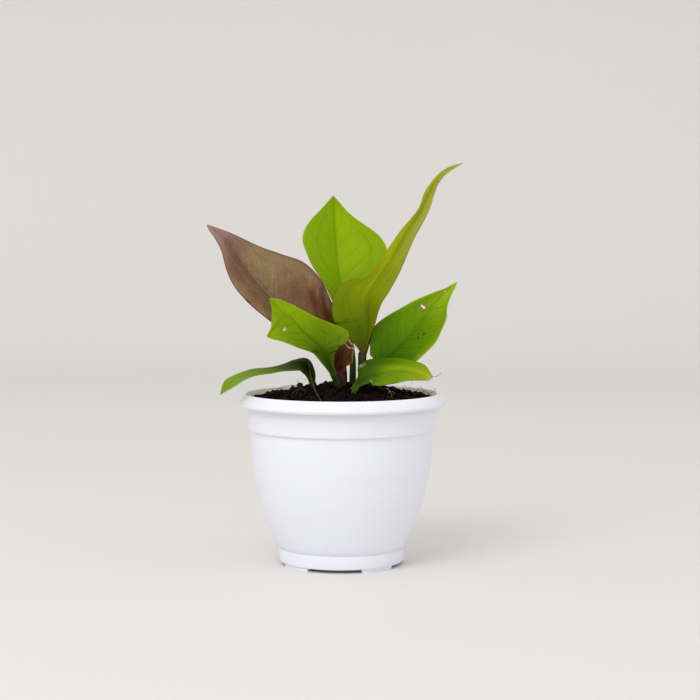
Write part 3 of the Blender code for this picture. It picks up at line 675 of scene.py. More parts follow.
def leaf_pattern_group():
    """Where the veins, midrib and margin of a blade lie, and its fine relief."""
    graph, given, out = new_group(
        "Leaf pattern",
        dict.fromkeys(("Veins", "Sweep", "Vein Width", "Midrib Width"), "Float"),
        dict.fromkeys(("Along", "Veins", "Midrib", "Margin", "Cells", "Mottle"), "Float"),
    )
    leaf = graph.split(graph.add("ShaderNodeUVMap", uv_map="leaf").outputs[0])
    along = leaf["X"]
    side = graph.math("ABSOLUTE", graph.scaled(leaf["Y"], 2.0, -1.0))
    drift = graph.noise(graph.place(), scale=90.0, detail=2.0)
    wander = graph.scaled(drift, VEIN_WANDER, -0.5 * VEIN_WANDER)
    lean = graph.times(graph.math("POWER", side, VEIN_CURVE), given["Sweep"])
    phase = graph.times(graph.math("ADD", graph.minus(along, lean), wander), given["Veins"])
    apart = graph.math("ABSOLUTE", graph.minus(graph.math("FRACT", phase), 0.5))
    veins = graph.minus(1.0, graph.smooth(graph.minus(0.5, apart), 0.0, given["Vein Width"]))
    fade = graph.minus(1.0, graph.smooth(side, *VEIN_FADE))
    # The loop joins the side veins' ends near the margin
    beside = graph.math("ABSOLUTE", graph.minus(graph.math("ADD", side, wander), LOOP_SIDE))
    loop = graph.times(graph.minus(1.0, graph.smooth(beside, 0.0, LOOP_WIDTH)), LOOP_STRENGTH)
    cells = {"Vector": graph.place(), "Scale": CELL_SCALE}
    cells = graph.add("ShaderNodeTexVoronoi", cells, feature="DISTANCE_TO_EDGE").outputs["Distance"]
    graph.join(out, {
        "Along": along,
        "Veins": graph.math("MAXIMUM", graph.times(veins, fade), loop),
        "Midrib": graph.minus(1.0, graph.smooth(side, 0.0, given["Midrib Width"])),
        "Margin": graph.smooth(side, MARGIN_START, 1.0),
        "Cells": graph.smooth(cells, 0.0, CELL_WALL),
        "Mottle": graph.noise(graph.place(), scale=55.0, detail=5.0, roughness=0.6),
    })
    return graph.tree


def leaf_paint_group():
    """The colour, roughness and relief of a blade from its own tint and pattern."""
    colours = ("Shade", "Vein", "Edge", "Patch", "Scorch")
    numbers = ("Veins", "Sweep", "Vein Strength", "Net", "Patch Amount", "Scorch Start", "Roughness")
    graph, given, out = new_group(
        "Leaf paint",
        {**dict.fromkeys(colours, "Color"), **dict.fromkeys(numbers, "Float")},
        {"Colour": "Color", "Roughness": "Float", "Height": "Float"},
    )
    inputs = {
        "Veins": given["Veins"], "Sweep": given["Sweep"],
        "Vein Width": VEIN_WIDTH, "Midrib Width": MIDRIB_WIDTH,
    }
    look = graph.group("Leaf pattern", leaf_pattern_group, inputs)
    mottle = look["Mottle"]
    # The tint holds the leaf's colour with its painted light and shade
    tint = graph.add("ShaderNodeAttribute", attribute_name="tint").outputs["Color"]
    marks = graph.split(graph.add("ShaderNodeAttribute", attribute_name="marks").outputs["Vector"])
    colour = graph.multiplied(1.0, tint, given["Shade"])
    patches = graph.times(graph.smooth(mottle, 0.42, 0.62), given["Patch Amount"])
    colour = graph.multiplied(patches, colour, given["Patch"])
    lines = graph.math("MAXIMUM", look["Veins"], look["Midrib"])
    colour = graph.multiplied(graph.times(lines, given["Vein Strength"]), colour, given["Vein"])
    colour = graph.multiplied(look["Margin"], colour, given["Edge"])
    net = graph.times(graph.minus(1.0, look["Cells"]), given["Net"])
    colour = graph.multiplied(net, colour, given["Vein"])
    ragged = graph.math("ADD", look["Along"], graph.scaled(mottle, 0.1, -0.05))
    scorched = graph.smooth(graph.minus(ragged, given["Scorch Start"]), 0.0, 0.05)
    colour = graph.mix(graph.math("MAXIMUM", scorched, marks["X"]), colour, given["Scorch"])
    colour = graph.mix(marks["Y"], colour, CREAM)
    colour = graph.mix(marks["Z"], colour, DARK)
    graph.join(out, {
        "Colour": colour,
        "Roughness": graph.scaled(mottle, 0.16, given["Roughness"]),
        "Height": graph.scaled(look["Cells"], 0.35, graph.times(lines, -1.0)),
    })
    return graph.tree


def stalk_streaks_group():
    """Streaks along a stalk, a fibre or the crown."""
    graph, given, out = new_group(
        "Stalk streaks",
        {"Colour": "Color", "Streak": "Color", "Scale": "Float"},
        {"Colour": "Color", "Height": "Float"},
    )
    streaks = graph.noise(graph.stretched((9.0, 9.0, 1.0)), given["Scale"], detail=4.0)
    spots = graph.smooth(graph.noise(graph.place(), scale=300.0), 0.55, 0.7)
    colour = graph.mix(graph.smooth(streaks, 0.4, 0.62), given["Colour"], given["Streak"])
    graph.join(out, {"Colour": graph.mix(graph.times(spots, 0.5), colour, DARK), "Height": streaks})
    return graph.tree


def new_material(name, roughness, **constants):
    """A material that has only its Principled shader, as (material, graph, shader)."""
    material = bpy.data.materials.new(name)
    material.use_nodes = True
    graph = Graph(material.node_tree)
    shader = graph.tree.nodes["Principled BSDF"]
    constants = {title.replace("_", " "): value for title, value in constants.items()}
    graph.join(shader, {"Roughness": roughness, **constants})
    return material, graph, shader


def finish_surface(graph, shader, colour, height, distance, strength=1.0):
    """Joins the colour to the shader, and the height as a fine relief."""
    relief = graph.add("ShaderNodeBump", {"Height": height, "Distance": distance, "Strength": strength})
    graph.join(shader, {"Base Color": colour, "Normal": relief.outputs["Normal"]})


def tinted(colour, factors):
    return tuple(min(channel * factor, 1.0) for channel, factor in zip(colour, factors))


def blade_material(name, leaf, look, under=False):
    """The finish of one side of a blade."""
    material, graph, shader = new_material(name, look["roughness"], Specular_IOR_Level=look["specular"])
    inputs = {
        "Shade": look["under"] if under else (1.0, 1.0, 1.0),
        "Vein": look["vein"],
        "Edge": look["margin"],
        "Patch": look["patch"],
        "Scorch": look["scorch"],
        "Veins": leaf["veins"],
        "Sweep": leaf["sweep"],
        "Vein Strength": look["vein_strength"],
        "Net": look["net"],
        "Patch Amount": look["patch_amount"],
        "Scorch Start": look["scorch_start"],
        "Roughness": look["roughness"] + (UNDERSIDE_ROUGHNESS if under else 0.0),
    }
    paint = graph.group("Leaf paint", leaf_paint_group, inputs)
    graph.join(shader, {"Roughness": paint["Roughness"]})
    finish_surface(graph, shader, paint["Colour"], paint["Height"], 0.12 * MM, -1.0 if under else 1.0)
    return material


def streaked_material(name, colour, streak):
    """The finish of a stalk, a fibre or the crown."""
    material, graph, shader = new_material(name, 0.5, Specular_IOR_Level=0.15)
    inputs = {"Colour": colour, "Streak": streak, "Scale": STREAK_SCALE}
    streaks = graph.group("Stalk streaks", stalk_streaks_group, inputs)
    finish_surface(graph, shader, streaks["Colour"], streaks["Height"], 0.15 * MM)
    return material


def pot_material(colour):
    """White moulded plastic with faint smudges, a few specks and a cream tint inside its mouth."""
    material, graph, shader = new_material(
        "pot_plastic", 0.33, Subsurface_Weight=0.06, Subsurface_Scale=0.002
    )
    smudges = graph.noise(graph.stretched((1.0, 1.0, 2.5)), scale=22.0, detail=6.0, roughness=0.65)
    smudge = graph.smooth(smudges, 0.52, 0.8)
    paint = graph.mix(graph.times(smudge, 0.12), colour, SMUDGE_COLOUR)
    specks = graph.add("ShaderNodeTexVoronoi", {"Vector": graph.place(), "Scale": 95.0})
    speck = graph.minus(1.0, graph.smooth(specks.outputs["Distance"], 0.03, 0.05))
    paint = graph.mix(graph.times(speck, 0.35), paint, SPECK_COLOUR)
    away = graph.add("ShaderNodeVectorMath", {"Vector": graph.stretched((1.0, 1.0, 0.0))}, operation="LENGTH")
    height = graph.split(graph.place())["Z"]
    # The cream tint covers what lies inside the band, and inside the mouth where the lip begins
    lip = graph.smooth(height, RIM_TOP - 6 * MM, RIM_TOP - 5 * MM)
    edge = graph.scaled(lip, MOUTH_RADIUS - BAND_RADIUS, BAND_RADIUS - 0.4 * MM)
    inside = graph.smooth(graph.minus(edge, away.outputs["Value"]), 0.0, 0.6 * MM)
    mouth_tint = graph.times(inside, graph.smooth(height, BAND_BOTTOM + 2 * MM, BAND_BOTTOM + 5 * MM))
    paint = graph.mix(graph.times(mouth_tint, MOUTH_TINT_STRENGTH), paint, MOUTH_TINT_COLOUR)
    graph.join(shader, {"Roughness": graph.scaled(smudge, 0.2, 0.3)})
    ripple = graph.noise(graph.place(), scale=70.0, detail=2.0)
    finish_surface(graph, shader, paint, ripple, 0.15 * MM, strength=0.4)
    return material


def soil_material(colour):
    """Moist crumbly mix, near black with reddish crumbs."""
    material, graph, shader = new_material("potting_soil", 0.85, Specular_IOR_Level=0.06)
    grain = graph.noise(graph.place(), scale=900.0, detail=6.0, roughness=0.7)
    lumps = graph.noise(graph.place(), scale=260.0)
    paint = graph.mix(graph.smooth(lumps, 0.45, 0.65), colour, tinted(colour, (3.0, 2.4, 2.2)))
    paint = graph.mix(graph.smooth(grain, 0.6, 0.75), paint, tinted(colour, (5.0, 4.0, 3.2)))
    graph.join(shader, {"Roughness": graph.scaled(lumps, 0.4, 0.45)})
    finish_surface(graph, shader, paint, grain, 0.4 * MM)
    return material


def smooth_path(points, count):
    """Points evenly spread over a smooth curve through the given ones (Catmull-Rom)."""
    points = np.array(points, dtype=float)
    ends = np.vstack([2 * points[0] - points[1], points, 2 * points[-1] - points[-2]])
    result = []
    for at in np.linspace(0, len(points) - 1, count):
        first = min(int(at), len(points) - 2)
        t = at - first
        before, start, end, after = ends[first : first + 4]
        result.append(
            start
            + 0.5 * t * (end - before)
            + 0.5 * t**2 * (2 * before - 5 * start + 4 * end - after)
            + 0.5 * t**3 * (3 * start - before - 3 * end + after)
        )
    return np.array(result)


def unit(vectors):
    return vectors / np.linalg.norm(vectors, axis=-1, keepdims=True)


def rows_at(values, along):
    """Rows of values read at shares of the blade's length."""
    at = np.clip(along, 0.0, 1.0) * (len(values) - 1)
    first = np.minimum(at.astype(int), len(values) - 2)
    share = at - first
    if values.ndim > 1:
        share = share[..., None]
    return values[first] * (1 - share) + values[first + 1] * share


def spine_of(leaf):
    """The blade's middle line in equal steps, its upper side's face and its right, its reaches and folds."""
    stations = smooth_path(leaf["stations"], BLADE_ROWS)
    faces = smooth_path(leaf["faces"], BLADE_ROWS)
    folds = np.radians(smooth_path([(fold,) for fold in leaf["folds"]], BLADE_ROWS)[:, 0])
    walked = np.cumsum(np.r_[0, np.linalg.norm(np.diff(stations[:, :3], axis=0), axis=1)])
    even = np.interp(np.linspace(0, walked[-1], BLADE_ROWS), walked, np.linspace(0, 1, BLADE_ROWS))
    stations, faces, folds = (rows_at(values, even) for values in (stations, faces, folds))
    middles = stations[:, :3]
    along = unit(np.gradient(middles, axis=0))
    faces = unit(faces - along * np.sum(along * faces, axis=1, keepdims=True))
    reaches = np.maximum(stations[:, 3:], LEAST_REACH)
    folds = folds * np.minimum(reaches.sum(axis=1) / FLAT_WIDTH, 1.0)
    return middles, faces, np.cross(along, faces), reaches, folds


def side_reach(reaches, across):
    """How far the blade reaches on the side that each place lies on."""
    return np.where(across < 0, reaches[..., 0], reaches[..., 1])


def blade_relief(leaf, along, across, reach):
    """Height over the plain sheet: quilted between veins, grooved at the midrib, waved at the margins."""
    side = np.abs(across)
    phase = leaf["veins"] * (along - leaf["sweep"] * side**VEIN_CURVE)
    swell = np.sqrt(np.abs(np.sin(np.pi * phase)) + QUILT_SOFTNESS) * np.sin(np.pi * side**QUILT_BOW)
    groove = -GROOVE_DEPTH * np.exp(-((side * reach / GROOVE_WIDTH) ** 2))
    height, count, start = leaf["wave"]
    turn = 2 * np.pi * (count * along + start + WAVE_SHIFT * np.sign(across))
    ends = np.clip(BASE_FADE * along, 0, 1) * np.clip(TIP_FADE * (1 - along), 0, 1)
    return (leaf["quilt"] * swell + groove + height * np.sin(turn) * side**WAVE_RISE) * ends


def blade_points(leaf, along, across):
    """Points of the upper side at shares of the blade's length and, from -1 to 1, of its reach."""
    middles, faces, rights, reaches, folds = (rows_at(values, along) for values in spine_of(leaf))
    reach = side_reach(reaches, across)
    outward = rights * np.sign(across)[..., None]
    cup = math.radians(leaf["cup"])
    end = folds + cup * np.abs(across)
    sideways = reach * (np.sin(end) - np.sin(folds)) / cup
    upward = reach * (np.cos(folds) - np.cos(end)) / cup
    points = middles + sideways[..., None] * outward + upward[..., None] * faces
    lift = blade_relief(leaf, along, across, reach)
    normal = np.cos(end)[..., None] * faces - np.sin(end)[..., None] * outward
    return points + lift[..., None] * normal


def torn_tip(fray, places):
    """How deep the tip is torn at each place across it."""
    coarse = np.array([noise.noise(Vector((TEAR_PITCH * v, fray, 0.0))) for v in places])
    fine = np.array([noise.noise(Vector((3 * TEAR_PITCH * v, 3.0, 0.0))) for v in places])
    return np.clip(0.5 + coarse + 0.5 * fine, 0, TEAR_LIMIT)


def blade_grid(leaf):
    """Shares along and across for each vertex of the sheet, drawn in at a frayed tip."""
    rows, columns = np.linspace(0, 1, BLADE_ROWS), np.linspace(-1, 1, BLADE_COLUMNS + 1)
    along, across = np.meshgrid(rows, columns, indexing="ij")
    if leaf["fray"]:
        along = along * (1 - leaf["fray"] * torn_tip(leaf["fray"], columns)[None, :] * along**4)
    return along, across


def flat_places(leaf, along, across):
    """Where these shares lie on the blade laid out flat, in millimetres."""
    middles, _, _, reaches, _ = spine_of(leaf)
    length = np.sum(np.linalg.norm(np.diff(middles, axis=0), axis=1))
    return np.stack([along * length, across * side_reach(rows_at(reaches, along), across)], axis=-1)


def blade_marks(leaf, along, across):
    """Scorch, cream and dark shares at each vertex, and how deep in a hole it is (under 1 is inside)."""
    places = flat_places(leaf, along, across)
    marks = np.zeros((*along.shape, 3))
    hole = np.full(along.shape, np.inf)
    for kind, at_along, at_across, half_length, half_width in leaf["marks"]:
        offsets = places - flat_places(leaf, np.array(at_along), np.array(at_across))
        forward, sideways = offsets[..., 0] / half_length, offsets[..., 1] / half_width
        bearing = np.arctan2(sideways, forward)
        radius = 1
        for (depth, lobes, turn), at in zip(MARK_LOBES, (at_along, at_across)):
            radius = radius + depth * np.sin(lobes * bearing + at * turn)
        away = np.hypot(forward, sideways) / radius
        if kind == "hole":
            hole = np.minimum(hole, away)
        for ring, edge, fade, strength in MARK_RINGS[kind]:
            near = strength * np.clip(edge - fade * away, 0, 1)
            marks[..., ring] = np.maximum(marks[..., ring], near)
    return marks, hole


def blade_tint(leaf, colour, along, across):
    """The leaf's colour at each vertex: its two halves, then its soft washes, then its strokes.
    Besides the leaf's own colours these paint light and shade: a lit half and a shaded half, shade at
    the base and, on the bronze leaf, highlights.
    """
    left, right = (np.array(factors) for factors in leaf["halves"])
    share = np.clip(0.5 + across / HALF_BLEND, 0, 1)[..., None]
    factors = left * (1 - share) + right * share
    for wash, at_along, at_across, half_length, half_width in leaf["washes"]:
        away = ((along - at_along) / half_length) ** 2 + ((across - at_across) / half_width) ** 2
        amount = np.exp(-WASH_SOFTNESS * away)[..., None]
        factors = factors * (1 - amount) + np.array(wash) * amount
    places = flat_places(leaf, along, across)
    for stroke, half_width, points in leaf["strokes"]:
        line = flat_places(leaf, *smooth_path(points, STROKE_POINTS).T)
        away = np.min([np.hypot(*np.moveaxis(places - point, -1, 0)) for point in line], axis=0)
        amount = np.exp(-((away / half_width) ** 2))[..., None]
        factors = factors * (1 + amount * (np.array(stroke) - 1))
    return np.clip(factors * colour, 0, 1)


def sheet_mesh(name, points, uv, tint, marks, hole):
    """A quad sheet over a grid of points, left open where hole is under 1."""
    index = np.arange(points[..., 0].size).reshape(points.shape[:2])
    corners = np.stack([index[:-1, :-1], index[:-1, 1:], index[1:, 1:], index[1:, :-1]], axis=-1)
    corners = corners.reshape(-1, 4)
    corners = corners[hole.ravel()[corners].mean(axis=1) > 1.0]
    used, corners = np.unique(corners, return_inverse=True)
    corners = corners.reshape(-1, 4)
    mesh = bpy.data.meshes.new(name)
    mesh.from_pydata(points.reshape(-1, 3)[used], [], corners.tolist())
    layer = mesh.uv_layers.new(name="leaf")
    layer.data.foreach_set("uv", uv.reshape(-1, 2)[used][corners.ravel()].astype(np.float32).ravel())
    for title, values in (("tint", tint), ("marks", marks)):
        attribute = mesh.attributes.new(title, "FLOAT_VECTOR", "POINT")
        attribute.data.foreach_set("vector", values.reshape(-1, 3)[used].astype(np.float32).ravel())
    mesh.shade_smooth()
    return mesh


def blade_seat(name, points):
    """The move, in millimetres, that brings the anchor of the blade's box to that of its node's box."""
    low, high = (np.array(corner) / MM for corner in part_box(name + "_blade"))
    least, most = points.reshape(-1, 3).min(axis=0), points.reshape(-1, 3).max(axis=0)
    return low - least + np.array(LEAVES[name]["anchor"]) * (high - low - most + least)


def mesh_from(shape, name):
    """Turns a bmesh into a smooth mesh and frees it."""
    mesh = bpy.data.meshes.new(name)
    shape.to_mesh(mesh)
    shape.free()
    mesh.shade_smooth()
    return mesh


def new_object(name, data):
    """A new object of this data, in the scene."""
    thing = bpy.data.objects.new(name, data)
    bpy.context.scene.collection.objects.link(thing)
    return thing


def add_piece(name, mesh, materials, replaced=()):
    """Adds an object that rides on the plant, stands for these nodes and takes this slot's finish."""
    piece = new_object(name, mesh)
    for material in materials:
        mesh.materials.append(material)
    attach(piece, BODY)
    if replaced:
        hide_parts(*replaced)
    return piece


def make_blade(name, settings):
    leaf, look, node = LEAVES[name], LOOKS[name], name + "_blade"
    along, across = blade_grid(leaf)
    points = blade_points(leaf, along, across)
    points = (points + blade_seat(name, points)) * MM
    marks, hole = blade_marks(leaf, along, across)
    uv = np.stack([along, 0.5 + 0.5 * across], axis=-1)
    # The tint carries the leaf's colour and its painted light and shade
    tint = blade_tint(leaf, tuple(getattr(settings, name)), along, across)
    materials = [blade_material(node, leaf, look), blade_material(node + "_under", leaf, look, under=True)]
    mesh = sheet_mesh(node + "_fine", points, uv, tint, marks, hole)
    blade = add_piece(node + "_fine", mesh, materials, [node])
    solidify = blade.modifiers.new("thickness", "SOLIDIFY")
    solidify.thickness = settings.thickness
    solidify.offset = -1.0
    solidify.material_offset = 1


def tube_mesh(name, path):
    """A closed tapering tube along x, y, z and radius, in metres, made as a bevelled curve."""
    curve = bpy.data.curves.new(name, "CURVE")
    curve.dimensions = "3D"
    curve.bevel_depth = 1.0
    curve.bevel_resolution = TUBE_ROUNDNESS
    curve.use_fill_caps = True
    spline = curve.splines.new("POLY")
    spline.points.add(len(path) - 1)
    for point, (x, y, z, radius) in zip(spline.points, path):
        point.co = (x, y, z, 1.0)
        point.radius = radius
    holder = new_object(name, curve)
    mesh = bpy.data.meshes.new_from_object(holder.evaluated_get(bpy.context.evaluated_depsgraph_get()))
    bpy.data.objects.remove(holder)
    mesh.shade_smooth()
    return mesh


def stalk_path(name):
    """The stalk and then its run under the blade's midrib, in millimetres."""
    leaf = LEAVES[name]
    stalk = smooth_path(leaf["stalk"], STALK_POINTS)
    middles, faces, _, _, _ = spine_of(leaf)
    shares = np.linspace(RUN_START, RUN_END, RUN_POINTS)
    radii = stalk[-1, 3] * RUN_SHARE * (1 - shares / RUN_END) ** RUN_TAPER + RUN_LEAST_RADIUS
    run = rows_at(middles, shares) - rows_at(faces, shares) * (radii + RUN_DEPTH)[:, None]
    run += blade_seat(name, blade_points(leaf, *blade_grid(leaf)))
    return np.vstack([stalk, np.column_stack([run, radii])])


def make_stalk(name, settings):
    node = name + "_stalk"
    brown = name in BROWN_STALKED
    colour = tinted(settings.brown_stalk if brown else settings.green_stalk, LOOKS[name]["stalk"])
    material = streaked_material(node, colour, tinted(colour, BROWN_STREAK if brown else GREEN_STREAK))
    add_piece(node + "_fine", tube_mesh(node + "_fine", stalk_path(name) * MM), [material], [node])


def body_radius(height):
    """Outer radius of the bowl-shaped body, from the foot band up to the step."""
    rise = (height - FOOT_BAND_TOP) / (BODY_TOP - FOOT_BAND_TOP)
    return FOOT_BAND_RADIUS + (BODY_TOP_RADIUS - FOOT_BAND_RADIUS) * (1 - (1 - rise) ** BODY_BULGE)


def on_circle(radius, angle):
    return radius * math.cos(angle), radius * math.sin(angle)


def arc(x, y, radius, start, end, steps, rise=1):
    """Points on an arc round x, y between two angles in degrees, with its height stretched by rise."""
    turns = (on_circle(radius, angle) for angle in np.radians(np.linspace(start, end, steps)))
    return [(x + right, y + rise * up) for right, up in turns]


def pot_section(wall):
    """The whole section of the pot, up its inside and down its outside."""
    heights = np.linspace(FOOT_BAND_TOP, BODY_TOP, BODY_STEPS)
    floor_edge = FOOT_BAND_RADIUS - 3 * wall
    lip = smooth_path(LIP_POINTS, LIP_STEPS)
    groove = FOOT_BAND_RADIUS - GROOVE_INSET
    foot_outer, foot_inner = FOOT_RADIUS - FOOT_INSET, FOOT_RADIUS - FOOT_THICKNESS
    return [
        # Up the inside: floor, wall, band and mouth
        (0.0, FLOOR_TOP), (floor_edge, FLOOR_TOP),
        *arc(floor_edge, FLOOR_TOP + 2 * wall, wall, -90, 0, 5, rise=2)[1:],
        *[(body_radius(height) - wall, height) for height in heights],
        (BAND_RADIUS - wall, BAND_BOTTOM + wall), (BAND_RADIUS - wall, RIM_TOP - 3 * wall),
        *arc(MOUTH_RADIUS + 0.2 * MM, RIM_TOP - MOUTH_ROUND, MOUTH_ROUND, 180, 95, 7),
        # Down the outside: lip and its hollow, band, step and body
        *[(RIM_RADIUS - inset * MM, RIM_TOP - drop * MM) for inset, drop in lip],
        *arc(BAND_RADIUS + 2 * HOLLOW_ROUND + LIP_ROUND, LIP_END + LIP_ROUND, LIP_ROUND, -90, -180, 4),
        *arc(BAND_RADIUS + HOLLOW_ROUND, HOLLOW_TOP, HOLLOW_ROUND, 0, 180, 9),
        *arc(BAND_RADIUS - BAND_ROUND, BAND_BOTTOM + BAND_ROUND, BAND_ROUND, 0, -90, 5),
        *arc(BODY_TOP_RADIUS + SHOULDER_ROUND, BODY_TOP + SHOULDER_RISE, SHOULDER_ROUND, 90, 180, 4),
        *[(body_radius(height), height) for height in reversed(heights)],
        # Groove over the foot band, the band, and the foot with the floor's underside
        (groove, FOOT_BAND_TOP - GROOVE_TOP), (groove, FOOT_BAND_TOP - GROOVE_INSET),
        *arc(groove, FOOT_BAND_TOP - FOOT_BAND_DROP, FOOT_BAND_ROUND, 75, 0, 4),
        *arc(FOOT_RADIUS - 0.5 * MM, FOOT_HEIGHT + FOOT_ROUND, FOOT_ROUND, 0, -90, 6),
        (foot_outer, FOOT_HEIGHT - 0.01 * MM), (foot_outer, 0.0),
        (foot_inner, 0.0), (foot_inner, FLOOR_BOTTOM), (0.0, FLOOR_BOTTOM),
    ]


def turn_angles(steps):
    """Angles of a full turn in degrees, with close pairs where a foot begins and ends."""
    angles = list(np.arange(steps) * 360.0 / steps)
    for centre in FOOT_GAP_CENTRES:
        for edge in (centre - FOOT_GAP / 2, centre + FOOT_GAP / 2):
            angles += [(edge - FOOT_EDGE) % 360, (edge + FOOT_EDGE) % 360]
    return sorted(set(round(angle, 4) for angle in angles))


def in_gap(angle):
    """Whether this angle lies between two feet."""
    return any(abs((angle - centre + 180) % 360 - 180) < FOOT_GAP / 2 for centre in FOOT_GAP_CENTRES)


def lathe_mesh(name, section, angles):
    """Turns a section that starts and ends on the axis. Between the feet its lowest points are raised."""
    shape = bmesh.new()
    ends = [shape.verts.new((0.0, 0.0, section[0][1])), shape.verts.new((0.0, 0.0, section[-1][1]))]
    rings = []
    for angle in angles:
        least = FOOT_HEIGHT if in_gap(angle) else 0.0
        ring = [(*on_circle(radius, math.radians(angle)), max(z, least)) for radius, z in section[1:-1]]
        rings.append([shape.verts.new(point) for point in ring])
    for near, far in zip(rings, rings[1:] + rings[:1]):
        shape.faces.new((ends[0], near[0], far[0]))
        for i in range(len(near) - 1):
            shape.faces.new((near[i], near[i + 1], far[i + 1], far[i]))
        shape.faces.new((near[-1], ends[1], far[-1]))
    bmesh.ops.remove_doubles(shape, verts=shape.verts, dist=0.005 * MM)
    bmesh.ops.recalc_face_normals(shape, faces=shape.faces)
    mesh = mesh_from(shape, name)
    mesh.set_sharp_from_angle(angle=SHARP_EDGE)
    return mesh


def drill_floor(pot):
    """Cuts the drain holes through the pot's floor."""
    shape = bmesh.new()
    for number in range(DRAIN_COUNT):
        drill = bmesh.ops.create_cone(
            shape, cap_ends=True, segments=DRAIN_SEGMENTS, radius1=DRAIN_RADIUS, radius2=DRAIN_RADIUS,
            depth=DRILL_DEPTH,
        )
        x, y = on_circle(DRAIN_CIRCLE, math.radians(360 * number / DRAIN_COUNT))
        bmesh.ops.translate(shape, verts=drill["verts"], vec=(x, y, (FLOOR_BOTTOM + FLOOR_TOP) / 2))
    drills = new_object("drills", mesh_from(shape, "drills"))
    drills.data.shade_flat()
    cut = pot.modifiers.new("drain", "BOOLEAN")
    cut.object = drills
    cut.solver = "EXACT"
    graph = bpy.context.evaluated_depsgraph_get()
    pot.data = bpy.data.meshes.new_from_object(pot.evaluated_get(graph))
    pot.modifiers.clear()
    bpy.data.objects.remove(drills)


def soil_height(x, y):
    """Height of the soil's surface with its soft heap and lumps."""
    away = (Vector((x, y)) - SOIL_HEAP_CENTRE).length / SOIL_HEAP_SPREAD
    lumps = noise.noise(Vector((x, y, 0.0)) / SOIL_LUMP_SIZE)
    return SOIL_EDGE - SOIL_FALL * y + SOIL_HEAP * math.exp(-0.5 * away**2) + SOIL_LUMPS * lumps


def grainy_height(x, y):
    """The soil's surface under its crumbs, a little lower and with a fine grain."""
    grain = sum(height * noise.noise(Vector((x, y, 0.0)) / size) for height, size in SOIL_GRAINS)
    return soil_height(x, y) - SOIL_SINK + grain * MM


def soil_mesh():
    """A closed body: a fine crumbly top and plain sides inside the pot's wall."""
    shape = bmesh.new()
    turns = np.radians(np.arange(SOIL_TURNS) * 360 / SOIL_TURNS)
    sides = [(FOOT_BAND_RADIUS - 2 * SOIL_CLEARANCE, SOIL_LOW.z)]
    heights = np.linspace(FOOT_BAND_TOP, BODY_TOP, SOIL_SIDE_STEPS)
    sides += [(body_radius(z) - SOIL_CLEARANCE, z) for z in heights]
    rings = [[shape.verts.new((*on_circle(radius, turn), z)) for turn in turns] for radius, z in sides]
    for ring in range(SOIL_RINGS):
        places = [on_circle(SOIL_RADIUS * (1 - ring / SOIL_RINGS), turn) for turn in turns]
        rings.append([shape.verts.new((x, y, grainy_height(x, y))) for x, y in places])
    for lower, upper in zip(rings, rings[1:]):
        for i in range(SOIL_TURNS):
            j = (i + 1) % SOIL_TURNS
            shape.faces.new((lower[i], lower[j], upper[j], upper[i]))
    shape.faces.new(reversed(rings[0]))
    shape.faces.new(rings[-1])
    return mesh_from(shape, "soil_fine")


def rough_ball(subdivisions):
    """Points and faces of a unit icosphere."""
    shape = bmesh.new()
    bmesh.ops.create_icosphere(shape, subdivisions=subdivisions, radius=1.0)
    points = np.array([vert.co[:] for vert in shape.verts])
    faces = np.array([[vert.index for vert in face.verts] for face in shape.faces])
    shape.free()
    return points, faces


def crumb_cluster(rng, count, subdivisions, sizes):
    """Points and faces of many uneven crumbs that lie on the soil."""
    ball, ball_faces = rough_ball(subdivisions)
    points, faces = [], []
    for number in range(count):
        radius = rng.uniform(*sizes) * MM
        out = math.sqrt(rng.uniform()) * (SOIL_RADIUS - CRUMB_MARGIN * radius)
        x, y = on_circle(out, rng.uniform(0, 2 * math.pi))
        uneven = 1 + rng.normal(0, CRUMB_UNEVENNESS, len(ball))[:, None]
        turn = np.linalg.qr(rng.normal(size=(3, 3)))[0]
        turn *= np.sign(np.linalg.det(turn))
        crumb = (ball * uneven * rng.uniform(*CRUMB_STRETCH, 3)) @ turn * radius
        lift = grainy_height(x, y) + radius * rng.uniform(*CRUMB_LIFT)
        points.append(crumb + (x, y, lift))
        faces.append(ball_faces + number * len(ball))
    return np.vstack(points), np.vstack(faces)


def crumb_mesh(settings):
    """All the clumps and crumbs as one mesh."""
    rng = np.random.default_rng(CRUMB_SEED)
    clumps, clump_faces = crumb_cluster(rng, settings.clumps, 2, CLUMP_SIZES)
    crumbs, crumb_faces = crumb_cluster(rng, settings.crumbs, 1, CRUMB_SIZES)
    mesh = bpy.data.meshes.new("soil_crumbs")
    faces = clump_faces.tolist() + (crumb_faces + len(clumps)).tolist()
    mesh.from_pydata(np.vstack([clumps, crumbs]), [], faces)
    mesh.shade_smooth()
    return mesh


def fibre_mesh(hairs):
    """Single fibres, and fine root hairs that stand up from the soil near the wall."""
    rng = np.random.default_rng(FIBRE_SEED)
    tubes = []
    for kind, radius, points in FIBRES:
        path = smooth_path(points, FIBRE_POINTS)
        tubes.append((kind, np.column_stack([path, np.full(FIBRE_POINTS, radius)]) * MM))
    for number in range(hairs):
        angle, out = rng.uniform(0, 2 * math.pi), rng.uniform(*HAIR_RING) * MM
        x, y = on_circle(out, angle)
        points = [np.array((x, y, soil_height(x, y)))]
        for _ in range(HAIR_STEPS):
            step = rng.normal(0, HAIR_SPREAD, 3) * MM
            points.append(points[-1] + step + (0, 0, rng.uniform(*HAIR_RISE) * MM))
        kind = BROWN if number % PALE_HAIR_EVERY else PALE
        radii = np.linspace(*HAIR_RADII, HAIR_POINTS) * MM
        tubes.append((kind, np.column_stack([smooth_path(points, HAIR_POINTS), radii])))
    shape = bmesh.new()
    for kind, tube in tubes:
        mesh = tube_mesh("fibre", tube)
        mesh.polygons.foreach_set("material_index", [kind] * len(mesh.polygons))
        shape.from_mesh(mesh)
        bpy.data.meshes.remove(mesh)
    return mesh_from(shape, "root_fibres")


